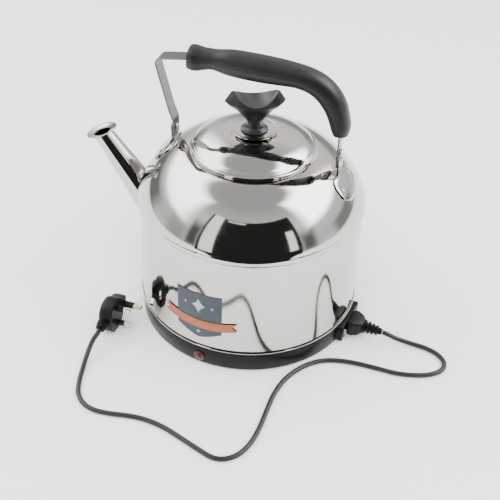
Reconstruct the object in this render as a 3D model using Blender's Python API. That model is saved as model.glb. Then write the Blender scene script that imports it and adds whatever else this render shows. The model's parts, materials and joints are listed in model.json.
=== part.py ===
"""Electric water kettle with a folding bail handle, a lift-off lid and a power lead.

Lengths are in millimetres in the constants and become metres when each mesh is
made. The kettle stands on z = 0 with its axis on x = y = 0. The spout points
along -X and the inlet is close to +X.
"""

import math

import bmesh
import bpy
from mathutils import Matrix, Vector

for old in list(bpy.data.objects):
    bpy.data.objects.remove(old, do_unlink=True)

MM = 0.001
GAP = 0.3  # air between two solids that touch in the real object
ROUND = 48  # facets round the body

# ---- vessel ----
BODY_R = 135.0  # radius of the bead between wall and shoulder
WALL_R = 134.0
WALL_T = 1.0
WALL_BOTTOM_Z = 32.7
BEAD_Z = 165.0  # middle height of the bead
BEAD_H = 7.6
SHOULDER_RISE = 65.9  # from the bead's middle to the shoulder's inner edge
MOUTH_R = 64.3
COLLAR_WALL = 1.2
COLLAR_TOP_Z = 236.2
FLOOR_Z = 34.0
FLOOR_T = 1.2

# ---- spout ----
SPOUT_LIP_X = -189.6
SPOUT_LIP_Z = 210.4
SPOUT_PITCH = 54.5  # degrees below the horizontal, from lip to root
SPOUT_TIP_R = 11.4
SPOUT_TAPER = 0.088  # radius gained per unit of length
SPOUT_T = 1.0
LIP_R = 18.6
LIP_TILT = 20.0  # degrees

# ---- base ----
SKIRT_TOP_R = 134.8
SKIRT_FOOT_R = 133.5
SKIRT_TOP_Z = 28.5
SKIRT_FOOT_Z = 2.6
SKIRT_T = 2.6
LEDGE_R = 112.0  # inner edge of the ledge that carries the bottom cover
TRIM_H = 2.2
SEAL_H = 1.1
COVER_R = 130.0
COVER_T = 2.0
FOOT_R = 9.0
FOOT_RING_R = 100.0
FOOT_COUNT = 4
COVER_SCREWS = 3
SCREW_RING_R = 119.0

# ---- inlet ----
INLET_AZIMUTH = -8.0  # degrees from +X
INLET_FACE = 139.5  # distance of the housing's face from the body axis
INLET_W = 56.0
INLET_H = 21.7
INLET_DEPTH = 21.0
INLET_Z = 15.75
SOCKET_W = 25.0
SOCKET_H = 17.0
SOCKET_DEPTH = 16.0
INLET_SCREW_PITCH = 40.0

# ---- lamp ----
LAMP_AZIMUTH = -98.5
LAMP_Z = 13.5
LAMP_R = 6.9

# ---- badge ----
BADGE_AZIMUTH = -98.9
BADGE_W = 57.0
BADGE_TOP_Z = 111.0
BADGE_SIDE_Z = 55.0
BADGE_TIP_Z = 44.0
RIBBON_W = 94.0
RIBBON_H = 12.0
RIBBON_Z = 65.0

# ---- handle ----
PIVOT_Z = 237.5
PIVOT_FRONT_X = -95.0
PIVOT_REAR_X = 99.5
STRAP_W = 18.0
STRAP_T = 2.0
RIVET_R = 2.5
RIVET_HEAD_R = 4.6
BEND_X = -116.5  # outer top corner of the bare post
BEND_Z = 325.0
GRIP_SCALE = 1.0  # thickness of the grip, as a share of the drawn one
EAR_T = 1.6
EAR_W = 52.0
EAR_RUN = 23.0
LUG_W = 20.0

# ---- lid ----
LID_R = 73.2
LID_RIM_Z = 229.8
LID_TOP_Z = 252.6
LID_T = 1.0
LID_SKIRT_R = 61.2
LID_SKIRT_FOOT_Z = 231.6
KNOB_TURN = 23.0  # degrees between the knob's wings and +X
KNOB_HALF_W = 34.2
KNOB_DEPTH = 17.6
KNOB_TOP_Z = 302.7
KNOB_DIP_Z = 289.5
CUP_R = 26.7

# ---- lead ----
CORD_R = 3.0
CORD_ROUTE = (
    (197.0, -23.6, 9.2), (215.0, -21.6, 4.6), (233.5, -22.6, 3.3), (250.0, -28.8, 3.1),
    (260.2, -41.0, 3.1), (258.6, -54.5, 3.1), (246.5, -65.8, 3.1), (228.2, -73.1, 3.1),
    (208.1, -76.6, 3.1), (185.0, -76.1, 3.1), (161.4, -75.7, 3.1), (139.5, -78.0, 3.1),
    (121.9, -83.6, 3.1), (107.0, -94.2, 3.1), (94.2, -110.5, 3.1), (84.4, -131.4, 3.1),
    (79.6, -155.8, 3.1), (78.6, -181.2, 3.1), (78.3, -208.2, 3.1), (75.2, -234.0, 3.1),
    (67.4, -253.0, 3.1), (55.0, -264.0, 3.1), (41.1, -266.0, 3.1), (23.5, -260.2, 3.1),
    (0.2, -251.4, 3.1), (-22.5, -243.2, 3.1), (-44.7, -239.2, 3.1), (-65.9, -239.8, 3.1),
    (-85.2, -243.0, 3.1), (-105.0, -244.2, 3.1), (-121.6, -239.0, 3.1), (-133.8, -226.8, 3.1),
    (-141.2, -208.4, 3.1), (-145.6, -190.0, 4.0), (-148.2, -172.0, 8.2), (-148.0, -155.0, 16.5),
)
PLUG_FACE_X = -135.7
PLUG_Y = -108.0  # line of the two shorter pins
PLUG_Z = 21.8
PLUG_DEPTH = 17.4
PIN_PITCH = 22.2
PIN_L = 17.7
EARTH_PIN_L = 22.7


# --------------------------------------------------------------------------
# materials
# --------------------------------------------------------------------------

def make_material(name, colour, metallic, roughness, alpha=1.0):
    """Return a Principled material with plain values."""
    material = bpy.data.materials.new(name)
    material.use_nodes = True
    shader = material.node_tree.nodes["Principled BSDF"]
    shader.inputs["Base Color"].default_value = (*colour, 1.0)
    shader.inputs["Metallic"].default_value = metallic
    shader.inputs["Roughness"].default_value = roughness
    shader.inputs["Alpha"].default_value = alpha
    return material


STEEL = ((0.78, 0.78, 0.77), 1.0, 0.08)
DULL_STEEL = ((0.62, 0.62, 0.61), 1.0, 0.3)
BRASS = ((0.78, 0.68, 0.42), 1.0, 0.25)
BLACK = ((0.018, 0.018, 0.02), 0.0, 0.42)
SOFT_BLACK = ((0.02, 0.02, 0.022), 0.0, 0.6)
RED = ((0.5, 0.01, 0.01), 0.0, 0.15)
WHITE = ((0.75, 0.74, 0.7), 0.0, 0.5)
NAVY = ((0.03, 0.045, 0.07), 0.0, 0.35)
ORANGE = ((0.62, 0.16, 0.04), 0.0, 0.4)


# --------------------------------------------------------------------------
# mesh helpers
# --------------------------------------------------------------------------

def add_object(name, bm, finish, matrix=None, smooth=True):
    """Turn a mesh in millimetres into a named object with its own material."""
    if matrix is not None:
        bmesh.ops.transform(bm, matrix=matrix, verts=bm.verts)
    bmesh.ops.scale(bm, vec=(MM, MM, MM), verts=bm.verts)
    bmesh.ops.recalc_face_normals(bm, faces=bm.faces)
    mesh = bpy.data.meshes.new(name)
    bm.to_mesh(mesh)
    bm.free()
    for face in mesh.polygons:
        face.use_smooth = smooth
    obj = bpy.data.objects.new(name, mesh)
    bpy.context.scene.collection.objects.link(obj)
    if finish is not None:
        mesh.materials.append(make_material(name, *finish))
    return obj


def rings_mesh(rings, closed_sweep=False, poles=(None, None)):
    """Skin a list of equal closed rings; end with caps, poles or a closed sweep."""
    bm = bmesh.new()
    rows = [[bm.verts.new(p) for p in ring] for ring in rings]
    count = len(rows[0])
    pairs = list(zip(rows, rows[1:])) + ([(rows[-1], rows[0])] if closed_sweep else [])
    for a, b in pairs:
        for i in range(count):
            j = (i + 1) % count
            bm.faces.new((a[i], a[j], b[j], b[i]))
    if not closed_sweep:
        for row, pole in ((rows[0], poles[0]), (rows[-1], poles[1])):
            if pole is None:
                bm.faces.new(row)
            else:
                tip = bm.verts.new(pole)
                for i in range(count):
                    bm.faces.new((row[i], row[(i + 1) % count], tip))
    concave = [f for f in bm.faces if len(f.verts) > 4]
    bmesh.ops.triangulate(bm, faces=concave)
    return bm


def lathe_mesh(profile, steps=ROUND):
    """Turn a closed (radius, height) outline round Z; points at radius 0 are poles."""
    bm = bmesh.new()
    rows = []
    for r, z in profile:
        if r < 1e-6:
            rows.append([bm.verts.new((0.0, 0.0, z))])
        else:
            rows.append([bm.verts.new((r * math.cos(t), r * math.sin(t), z))
                         for t in (2 * math.pi * i / steps for i in range(steps))])
    for a, b in zip(rows, rows[1:] + rows[:1]):
        if len(a) == 1 and len(b) == 1:
            continue
        for i in range(steps):
            j = (i + 1) % steps
            ring = [a[i % len(a)], a[j % len(a)], b[j % len(b)], b[i % len(b)]]
            ring = [v for k, v in enumerate(ring) if v not in ring[:k]]
            bm.faces.new(ring)
    return bm


def lathe(name, profile, finish, steps=ROUND, matrix=None):
    """Add a turned part."""
    return add_object(name, lathe_mesh(profile, steps), finish, matrix)


def loft(name, rings, finish, matrix=None, smooth=True, closed_sweep=False, poles=(None, None)):
    """Add a part skinned over rings."""
    return add_object(name, rings_mesh(rings, closed_sweep, poles), finish, matrix, smooth)


def box(name, low, high, finish, matrix=None, bevel=0.0):
    """Add a box from two corners, with bevelled edges if asked."""
    bm = bmesh.new()
    bmesh.ops.create_cube(bm, size=1.0)
    size = [h - l for l, h in zip(low, high)]
    middle = [(h + l) / 2 for l, h in zip(low, high)]
    bmesh.ops.transform(bm, matrix=Matrix.Translation(middle) @ Matrix.Diagonal((*size, 1.0)), verts=bm.verts)
    if bevel:
        bmesh.ops.bevel(bm, geom=bm.edges[:], offset=bevel, segments=1, affect="EDGES")
    return add_object(name, bm, finish, matrix, smooth=False)


def cylinder(name, radius, z0, z1, finish, matrix=None, steps=32):
    """Add a plain cylinder along the matrix's Z axis."""
    return lathe(name, [(0, z0), (radius, z0), (radius, z1), (0, z1)], finish, steps, matrix)


def tube(name, points, radius, finish, resolution=3):
    """Add a round tube along points given in millimetres."""
    curve = bpy.data.curves.new(name, "CURVE")
    curve.dimensions = "3D"
    spline = curve.splines.new("POLY")
    spline.points.add(len(points) - 1)
    for slot, point in zip(spline.points, points):
        slot.co = (point[0] * MM, point[1] * MM, point[2] * MM, 1.0)
    curve.bevel_depth = radius * MM
    curve.bevel_resolution = resolution
    curve.resolution_u = 1
    curve.use_fill_caps = True
    obj = bpy.data.objects.new(name, curve)
    bpy.context.scene.collection.objects.link(obj)
    curve.materials.append(make_material(name, *finish))
    return obj


def use_tool(target, tool, operation="DIFFERENCE"):
    """Cut or join a hidden tool with a part."""
    tool.hide_render = True
    tool.display_type = "WIRE"
    modifier = target.modifiers.new(operation.title(), "BOOLEAN")
    modifier.operation = operation
    modifier.solver = "EXACT"
    modifier.object = tool


def turned(azimuth, offset=(0.0, 0.0, 0.0)):
    """Return the frame that is turned about Z, then moved outwards."""
    return Matrix.Rotation(math.radians(azimuth), 4, "Z") @ Matrix.Translation(offset)


def along(point, direction):
    """Return a frame at a point whose Z axis follows a direction."""
    return Matrix.Translation(point) @ Vector(direction).to_track_quat("Z", "Y").to_matrix().to_4x4()


def catmull(points, spacing):
    """Return evenly spread points on a smooth curve through the given ones."""
    pts = [Vector(p) for p in points]
    pts = [pts[0] * 2 - pts[1]] + pts + [pts[-1] * 2 - pts[-2]]
    fine = []
    for k in range(1, len(pts) - 2):
        p0, p1, p2, p3 = pts[k - 1:k + 3]
        for i in range(12):
            t = i / 12
            fine.append(0.5 * ((2 * p1) + (p2 - p0) * t + (2 * p0 - 5 * p1 + 4 * p2 - p3) * t ** 2
                               + (3 * p1 - 3 * p2 + p3 - p0) * t ** 3))
    fine.append(pts[-2])
    length = sum((b - a).length for a, b in zip(fine, fine[1:]))
    count = max(2, round(length / spacing))
    out, walked, k = [fine[0]], 0.0, 0
    for i in range(1, count):
        goal = length * i / count
        while walked + (fine[k + 1] - fine[k]).length < goal:
            walked += (fine[k + 1] - fine[k]).length
            k += 1
        part = (goal - walked) / (fine[k + 1] - fine[k]).length
        out.append(fine[k].lerp(fine[k + 1], part))
    return out + [fine[-1]]


# --------------------------------------------------------------------------
# body outline
# --------------------------------------------------------------------------

SHOULDER = (
    Vector((BODY_R, BEAD_Z)),
    Vector((BODY_R, BEAD_Z + 0.197 * SHOULDER_RISE)),
    Vector((BODY_R * 0.8205, BEAD_Z + 0.932 * SHOULDER_RISE)),
    Vector((BODY_R * 0.45, BEAD_Z + SHOULDER_RISE)),
)


def shoulder_point(s):
    """Return a point of the shoulder's outer curve and its outward normal."""
    a, b, c, d = SHOULDER
    q = 1 - s
    point = a * q ** 3 + b * 3 * q * q * s + c * 3 * q * s * s + d * s ** 3
    slope = (b - a) * 3 * q * q + (c - b) * 6 * q * s + (d - c) * 3 * s * s
    normal = Vector((slope.y, -slope.x)).normalized()
    return point, normal


def shoulder_at(radius):
    """Return height and normal of the shoulder's outer curve at a radius."""
    low, high = 0.0, 1.0
    for _ in range(40):
        mid = (low + high) / 2
        if shoulder_point(mid)[0].x > radius:
            low = mid
        else:
            high = mid
    point, normal = shoulder_point(low)
    return point.y, normal


def shoulder_line(offset, stop_radius, count=11):
    """Return shoulder points from just above the bead to an inner radius."""
    low, high = 0.13, 1.0
    for _ in range(40):
        mid = (low + high) / 2
        if shoulder_point(mid)[0].x > stop_radius:
            low = mid
        else:
            high = mid
    out = []
    for i in range(count):
        point, normal = shoulder_point(0.13 + (low - 0.13) * i / (count - 1))
        point = point + normal * offset
        out.append((point.x, point.y))
    return out


BEAD_LOW = BEAD_Z - BEAD_H / 2
BEAD_HIGH = BEAD_Z + BEAD_H / 2


def bead_line(offset):
    """Return the bead's outer outline, moved outwards by an offset."""
    return [(BODY_R - 0.9 + offset, BEAD_LOW), (BODY_R + offset, BEAD_LOW + 1.0),
            (BODY_R + 0.3 + offset, BEAD_Z), (BODY_R + offset, BEAD_HIGH - 0.9),
            (BODY_R - 0.6 + offset, BEAD_HIGH)]


def body_block():
    """Return a hidden solid of the body's outside, a gap larger all round."""
    profile = [(0, -20.0), (WALL_R + GAP, -20.0), (WALL_R + GAP, BEAD_LOW - GAP)]
    profile += [(r + GAP, z) for r, z in bead_line(0.0)]
    profile += shoulder_line(GAP, MOUTH_R)
    profile += [(0, profile[-1][1])]
    return lathe("tool_body", profile, None)


# --------------------------------------------------------------------------
# vessel and spout
# --------------------------------------------------------------------------

SPOUT_DIR = Vector((math.cos(math.radians(SPOUT_PITCH)), 0.0, -math.sin(math.radians(SPOUT_PITCH))))
SPOUT_LIP = Vector((SPOUT_LIP_X, 0.0, SPOUT_LIP_Z))


def spout_radius(run):
    """Return the spout's outer radius at a distance from its lip."""
    return SPOUT_TIP_R + SPOUT_TAPER * run


def build_vessel():
    """Add the shells of the body, with the spout's hole through them."""
    top = BEAD_LOW - GAP
    neck_r = BODY_R - 0.9 - WALL_T - GAP
    wall = lathe("wall_shell", [
        (WALL_R, WALL_BOTTOM_Z), (WALL_R, top), (neck_r, top), (neck_r, top + 3.6),
        (neck_r - WALL_T, top + 3.6), (neck_r - WALL_T, top), (WALL_R - WALL_T, top - 2.0),
        (WALL_R - WALL_T, WALL_BOTTOM_Z),
    ], STEEL)
    outer = bead_line(0.0) + shoulder_line(0.0, MOUTH_R)
    inner = [(r - WALL_T, z) for r, z in bead_line(0.0)[::2]] + shoulder_line(-WALL_T, MOUTH_R, 8)
    lathe("dome_shell", outer + inner[::-1], STEEL)
    bore = [(spout_radius(45) - SPOUT_T, 45.0), (spout_radius(150) - SPOUT_T, 150.0)]
    hole = lathe("tool_spout_bore", [(0, 45.0), *bore, (0, 150.0)], None, 40,
                 along(SPOUT_LIP, SPOUT_DIR))
    use_tool(wall, hole)
    edge_z = shoulder_line(0.0, MOUTH_R)[-1][1]
    r = MOUTH_R - GAP
    lathe("mouth_collar", [
        (r, edge_z - 5.0), (r, COLLAR_TOP_Z - 2.4), (r + 1.8, COLLAR_TOP_Z - 1.6),
        (r + 1.8, COLLAR_TOP_Z - 0.5), (r + 0.9, COLLAR_TOP_Z), (r - 0.6, COLLAR_TOP_Z - 0.1),
        (r - COLLAR_WALL, COLLAR_TOP_Z - 1.2), (r - COLLAR_WALL, edge_z - 5.0),
    ], STEEL)
    rim = WALL_R - WALL_T - GAP
    floor = lathe("vessel_floor", [
        (0, FLOOR_Z), (rim, FLOOR_Z), (rim, FLOOR_Z + 10), (rim - FLOOR_T, FLOOR_Z + 10),
        (rim - FLOOR_T, FLOOR_Z + FLOOR_T), (0, FLOOR_Z + FLOOR_T),
    ], DULL_STEEL)
    return floor


def build_spout(block):
    """Add the conical spout, trimmed to the body, and its flared lip."""
    run = 150.0
    start = -14.0
    frame = along(SPOUT_LIP, SPOUT_DIR)
    spout = lathe("spout_tube", [
        (spout_radius(start), start), (spout_radius(run), run),
        (spout_radius(run) - SPOUT_T, run), (spout_radius(start) - SPOUT_T, start),
    ], STEEL, 40, frame)
    use_tool(spout, block)
    tilt = math.radians(LIP_TILT)
    normal = Vector((-math.sin(tilt), 0.0, math.cos(tilt)))
    lip_frame = Matrix.Translation(SPOUT_LIP) @ Matrix.Rotation(-tilt, 4, "Y")
    trim = box("tool_spout_end", (-40, -40, 0), (40, 40, 40), None, lip_frame)
    use_tool(spout, trim)
    bore = (SPOUT_TIP_R - SPOUT_T) / normal.dot(-SPOUT_DIR) + 0.1
    lathe("spout_lip", [
        (bore, GAP), (bore + 2.4, GAP), (bore + 4.6, GAP + 0.7), (LIP_R, GAP + 1.7),
        (LIP_R + 0.3, GAP + 2.2), (LIP_R, GAP + 2.7), (bore + 4.2, GAP + 1.7), (bore, GAP + 1.1),
    ], STEEL, 36, lip_frame)


# --------------------------------------------------------------------------
# base, feet, lamp and inlet
# --------------------------------------------------------------------------

def build_base():
    """Add seal, trim ring, skirt, bottom cover, feet and cover screws."""
    top = SKIRT_TOP_Z
    lathe("trim_ring", [
        (SKIRT_TOP_R - 4.0, top + GAP), (SKIRT_TOP_R + 0.3, top + GAP),
        (SKIRT_TOP_R + 0.8, top + GAP + 0.35 * TRIM_H), (SKIRT_TOP_R + 0.8, top + GAP + 0.65 * TRIM_H),
        (SKIRT_TOP_R + 0.3, top + GAP + TRIM_H), (SKIRT_TOP_R - 4.0, top + GAP + TRIM_H),
    ], STEEL)
    seal_z = top + 2 * GAP + TRIM_H
    lathe("seal_ring", [
        (WALL_R - 3.5, seal_z), (WALL_R + 0.2, seal_z), (WALL_R + 0.2, seal_z + SEAL_H),
        (WALL_R - 3.5, seal_z + SEAL_H),
    ], SOFT_BLACK)
    ledge_z = SKIRT_FOOT_Z + COVER_T + GAP
    inner_top, inner_foot = SKIRT_TOP_R - SKIRT_T, SKIRT_FOOT_R - SKIRT_T
    skirt = lathe("base_skirt", [
        (SKIRT_FOOT_R - 0.8, SKIRT_FOOT_Z), (SKIRT_FOOT_R, SKIRT_FOOT_Z + 0.8),
        (SKIRT_TOP_R, top - 0.8), (SKIRT_TOP_R - 0.6, top), (SKIRT_TOP_R - 12, top),
        (SKIRT_TOP_R - 12, top - 2.2), (inner_top, top - 2.2), (inner_foot, ledge_z + 3.2),
        (LEDGE_R, ledge_z + 3.2), (LEDGE_R, ledge_z), (inner_foot, ledge_z),
        (inner_foot, SKIRT_FOOT_Z),
    ], BLACK)
    cover = lathe("base_cover", [
        (0, SKIRT_FOOT_Z), (COVER_R, SKIRT_FOOT_Z), (COVER_R, SKIRT_FOOT_Z + COVER_T),
        (0, SKIRT_FOOT_Z + COVER_T),
    ], DULL_STEEL)
    for k in range(FOOT_COUNT):
        place = turned(45 + 360 * k / FOOT_COUNT, (FOOT_RING_R, 0, 0))
        lathe(f"foot_{k + 1}", [
            (0, 0), (FOOT_R - 0.7, 0), (FOOT_R, 0.7), (FOOT_R, SKIRT_FOOT_Z - GAP),
            (0, SKIRT_FOOT_Z - GAP),
        ], SOFT_BLACK, 24, place)
    for k in range(COVER_SCREWS):
        place = turned(100 + 360 * k / COVER_SCREWS, (SCREW_RING_R, 0, 0))
        lathe(f"cover_screw_{k + 1}", [
            (0, SKIRT_FOOT_Z - 1.9), (2.6, SKIRT_FOOT_Z - 1.9), (3.6, SKIRT_FOOT_Z - 1.1),
            (3.6, SKIRT_FOOT_Z - GAP), (1.6, SKIRT_FOOT_Z - GAP), (1.6, ledge_z + 2.2), (0, ledge_z + 2.2),
        ], DULL_STEEL, 20, place)
        hole = cylinder(f"tool_cover_screw_{k + 1}", 1.75, SKIRT_FOOT_Z - 4, ledge_z + 2.5,
                        None, place, 20)
        use_tool(cover, hole)
        use_tool(skirt, hole)
    return skirt


def build_lamp(skirt):
    """Add the indicator lamp and its hole in the skirt."""
    share = (LAMP_Z - SKIRT_FOOT_Z) / (SKIRT_TOP_Z - SKIRT_FOOT_Z)
    face = SKIRT_FOOT_R + (SKIRT_TOP_R - SKIRT_FOOT_R) * share
    frame = turned(LAMP_AZIMUTH, (face, 0, LAMP_Z)) @ Matrix.Rotation(math.radians(90), 4, "Y")
    neck = LAMP_R * 0.72
    lathe("lamp_lens", [
        (0, -6.0), (neck, -6.0), (neck, 0.45), (LAMP_R, 0.45), (LAMP_R, 1.3), (LAMP_R - 0.9, 2.0),
        (neck - 0.4, 2.2), (neck * 0.62, 3.6), (0, 4.1),
    ], RED, 20, frame)
    cylinder("lamp_body", neck - 0.6, -20.0, -6.3, WHITE, frame, 20)
    use_tool(skirt, cylinder("tool_lamp", neck + 0.25, -12.0, 8.0, None, frame, 20))


def build_inlet(skirt):
    """Add the inlet housing with its socket, pins and screws."""
    frame = turned(INLET_AZIMUTH, (0, 0, INLET_Z))
    back = INLET_FACE - INLET_DEPTH
    half_w, half_h = INLET_W / 2, INLET_H / 2
    housing = box("inlet_housing", (back, -half_w, -half_h), (INLET_FACE, half_w, half_h), BLACK, frame, 1.2)
    socket = box("tool_socket", (INLET_FACE - SOCKET_DEPTH, -SOCKET_W / 2, -SOCKET_H / 2),
                 (INLET_FACE + 5, SOCKET_W / 2, SOCKET_H / 2), None, frame)
    use_tool(housing, socket)
    opening = box("tool_inlet_opening", (LEDGE_R - 4, -half_w - GAP, -half_h - GAP),
                  (INLET_FACE + 6, half_w + GAP, half_h + GAP), None, frame)
    use_tool(skirt, opening)
    wall_x = INLET_FACE - SOCKET_DEPTH
    for name, y, z in (("inlet_pin_live", -7.0, -2.0), ("inlet_pin_neutral", 7.0, -2.0),
                       ("inlet_pin_earth", 0.0, 2.0)):
        box(name, (back - 5.0, y - 1.0, z - 2.0), (wall_x + 11.5, y + 1.0, z + 2.0), DULL_STEEL, frame, 0.3)
        hole = box("tool_" + name, (back - 2.0, y - 1.15, z - 2.15), (wall_x + 2.0, y + 1.15, z + 2.15),
                   None, frame)
        use_tool(housing, hole)
    for k, side in enumerate((-1, 1)):
        place = frame @ Matrix.Translation((INLET_FACE, side * INLET_SCREW_PITCH / 2, 0)) \
            @ Matrix.Rotation(math.radians(90), 4, "Y")
        lathe(f"inlet_screw_{k + 1}", [
            (0, -9.0), (1.5, -9.0), (1.5, GAP), (3.4, GAP), (3.1, 1.5), (1.6, 2.0), (0, 2.1),
        ], DULL_STEEL, 20, place)
        use_tool(housing, cylinder(f"tool_inlet_screw_{k + 1}", 1.65, -9.5, 4.0, None, place, 20))


# --------------------------------------------------------------------------
# heating and wiring (inside, out of sight)
# --------------------------------------------------------------------------

COIL_R = 80.0
COIL_Z = 47.0
COIL_TUBE_R = 4.2
COIL_LEG = 12.0  # degrees each side of +X
LEG_FOOT_Z = 24.0


def build_heating(floor):
    """Add heating coil, bushings, nuts, thermostat and wires."""
    bend = 9.0
    points = []
    for i in range(5):
        points.append((COIL_LEG, LEG_FOOT_Z + (COIL_Z - bend - LEG_FOOT_Z) * i / 4))
    for i in range(1, 4):
        turn = math.radians(90 * i / 4)
        angle = COIL_LEG + math.degrees(bend * (1 - math.cos(turn)) / COIL_R)
        points.append((angle, COIL_Z - bend + bend * math.sin(turn)))
    first = COIL_LEG + math.degrees(bend / COIL_R)
    steps = 26
    ring = [(first + (360 - 2 * first) * i / steps, COIL_Z) for i in range(steps + 1)]
    mirrored = [(360 - angle, z) for angle, z in points[::-1]]
    route = [(COIL_R * math.cos(math.radians(a)), COIL_R * math.sin(math.radians(a)), z)
             for a, z in points + ring + mirrored]
    tube("heating_coil", route, COIL_TUBE_R, DULL_STEEL, 1)
    for k, angle in enumerate((COIL_LEG, -COIL_LEG)):
        place = turned(angle, (COIL_R, 0, 0))
        top = FLOOR_Z + FLOOR_T + GAP
        inner = COIL_TUBE_R + GAP
        lathe(f"coil_bushing_{k + 1}", [
            (inner, FLOOR_Z - 6.5), (7.6, FLOOR_Z - 6.5), (7.6, top), (11.5, top), (11.5, top + 2.5),
            (9.0, top + 3.6), (inner, top + 3.6),
        ], BRASS, 24, place)
        nut = [(inner_r, z) for inner_r, z in ((7.9, FLOOR_Z - GAP - 3.5), (11.8, FLOOR_Z - GAP - 3.5),
                                               (11.8, FLOOR_Z - GAP), (7.9, FLOOR_Z - GAP))]
        lathe(f"coil_nut_{k + 1}", nut, BRASS, 24, place)
        use_tool(floor, cylinder(f"tool_bushing_{k + 1}", 7.9, FLOOR_Z - 3, FLOOR_Z + 6, None, place, 24))
    lathe("thermostat", [
        (0, FLOOR_Z - 9.5), (7.5, FLOOR_Z - 9.5), (8.0, FLOOR_Z - 9.0), (8.0, FLOOR_Z - 4.0),
        (12.5, FLOOR_Z - 4.0), (12.5, FLOOR_Z - GAP), (0, FLOOR_Z - GAP),
    ], WHITE, 24)
    tail = turned(INLET_AZIMUTH, (INLET_FACE - INLET_DEPTH - 6.8, 0, INLET_Z))
    live = tail @ Vector((0, -7.0, -2.0))
    neutral = tail @ Vector((0, 7.0, -2.0))
    legs = [turned(a, (COIL_R, 0, 0)) @ Vector((0, 0, LEG_FOOT_Z - 2.2)) for a in (COIL_LEG, -COIL_LEG)]
    hub_low = Vector((9.2, -4.0, FLOOR_Z - 7.5))
    hub_high = Vector((9.2, 4.0, FLOOR_Z - 7.5))
    routes = {
        "wire_live": [live, live + Vector((-18, -14, -1)), Vector((60, -38, 13)), Vector((28, -24, 20)),
                      hub_low + Vector((5, -5, -2)), hub_low + Vector((0.6, -0.6, 0))],
        "wire_neutral": [neutral, neutral + Vector((-10, 3, 0)), legs[0] + Vector((12, 3, -6)), legs[0]],
        "wire_link": [hub_high + Vector((0.6, 0.6, 0)), hub_high + Vector((12, 7, -2)),
                      Vector((46, 2, 17)), legs[1] + Vector((-10, 2, -4)), legs[1]],
    }
    for name, route in routes.items():
        tube(name, catmull(route, 7.0), 1.2, WHITE if name == "wire_neutral" else RED, 1)


# --------------------------------------------------------------------------
# badge
# --------------------------------------------------------------------------

def wall_patch(name, width, low, high, radius, finish, columns, rows=3, thickness=0.4):
    """Add a thin plate that follows the wall; low and high give its edges."""
    grid = []
    for depth in (radius, radius + thickness):
        layer = []
        for i in range(columns + 1):
            t = -1 + 2 * i / columns
            angle = math.radians(BADGE_AZIMUTH) + t * width / 2 / WALL_R
            a, b = low(t), high(t)
            layer.append([(depth * math.cos(angle), depth * math.sin(angle), a + (b - a) * j / rows)
                          for j in range(rows + 1)])
        grid.append(layer)
    inner, outer = grid
    rings = [outer[i] + inner[i][::-1] for i in range(columns + 1)]
    return loft(name, rings, finish)


def build_badge():
    """Add a blank shield and a ribbon across it."""
    def shield_low(t):
        return BADGE_TIP_Z + (BADGE_SIDE_Z - BADGE_TIP_Z) * abs(t) ** 1.3

    def shield_high(t):
        return BADGE_TOP_Z - 1.6 * (1 - t * t) + 1.2 * math.exp(-(t / 0.2) ** 2)

    wall_patch("badge_shield", BADGE_W, shield_low, shield_high, WALL_R + GAP, NAVY, 16)

    def ribbon_mid(t):
        return RIBBON_Z + 5.0 * t * t - 0.5 * t

    wall_patch("badge_ribbon", RIBBON_W, lambda t: ribbon_mid(t) - RIBBON_H / 2,
               lambda t: ribbon_mid(t) + RIBBON_H / 2, WALL_R + 2 * GAP + 0.4, ORANGE, 20, 2)


# --------------------------------------------------------------------------
# ears and handle
# --------------------------------------------------------------------------

def build_ear(name, side, pivot_x, block):
    """Add one ear: a foot that follows the shoulder and a lug with a rivet hole."""
    strap_face = abs(pivot_x) + STRAP_T / 2 + GAP
    middle_r = strap_face + EAR_T / 2 + EAR_RUN / 2 - 2.0
    columns, rows = 12, 3
    centre = 0.0 if side > 0 else math.pi
    inner, outer = [], []
    for i in range(columns + 1):
        t = -0.97 + 1.94 * i / columns
        reach = (1 - abs(t) ** 3) ** (1 / 3)
        angle = centre + t * EAR_W / 2 / middle_r
        low_row, high_row = [], []
        for j in range(rows + 1):
            radius = middle_r + (-1 + 2 * j / rows) * EAR_RUN / 2 * reach
            z, normal = shoulder_at(radius)
            for row, lift in ((low_row, GAP + 0.25), (high_row, GAP + 0.25 + EAR_T)):
                r = radius + normal.x * lift
                row.append((r * math.cos(angle), r * math.sin(angle), z + normal.y * lift))
        inner.append(low_row)
        outer.append(high_row)
    ear = loft(name, [outer[i] + inner[i][::-1] for i in range(columns + 1)], STEEL)
    foot_z = shoulder_at(strap_face + EAR_T)[0] - 6.0
    outline = [(-LUG_W / 2, foot_z), (LUG_W / 2, foot_z)]
    outline += [(LUG_W / 2 * math.cos(math.radians(a)), PIVOT_Z + LUG_W / 2 * math.sin(math.radians(a)))
                for a in range(0, 181, 15)]
    x0, x1 = side * strap_face, side * (strap_face + EAR_T + 0.4)
    lug = loft("tool_lug_" + name, [[(x, y, z) for y, z in outline] for x in (x0, x1)], None)
    use_tool(ear, lug, "UNION")
    use_tool(ear, block)
    return ear


def build_rivet(name, side, pivot_x):
    """Add one rivet through strap and lug, lying along X."""
    inner_face = abs(pivot_x) - STRAP_T / 2 - GAP
    outer_face = abs(pivot_x) + STRAP_T / 2 + 2 * GAP + EAR_T + 0.4
    frame = Matrix.Translation((0, 0, PIVOT_Z)) @ Matrix.Rotation(math.radians(90 * side), 4, "Y")
    head = RIVET_HEAD_R
    lathe(name, [
        (0, inner_face - 2.2), (head * 0.6, inner_face - 1.8), (head, inner_face), (RIVET_R, inner_face),
        (RIVET_R, outer_face), (head, outer_face), (head * 0.6, outer_face + 1.8), (0, outer_face + 2.2),
    ], DULL_STEEL, 20, frame)
    return cylinder("tool_" + name, RIVET_R + 0.06, inner_face - 6, outer_face + 6, None, frame, 20)


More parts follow.
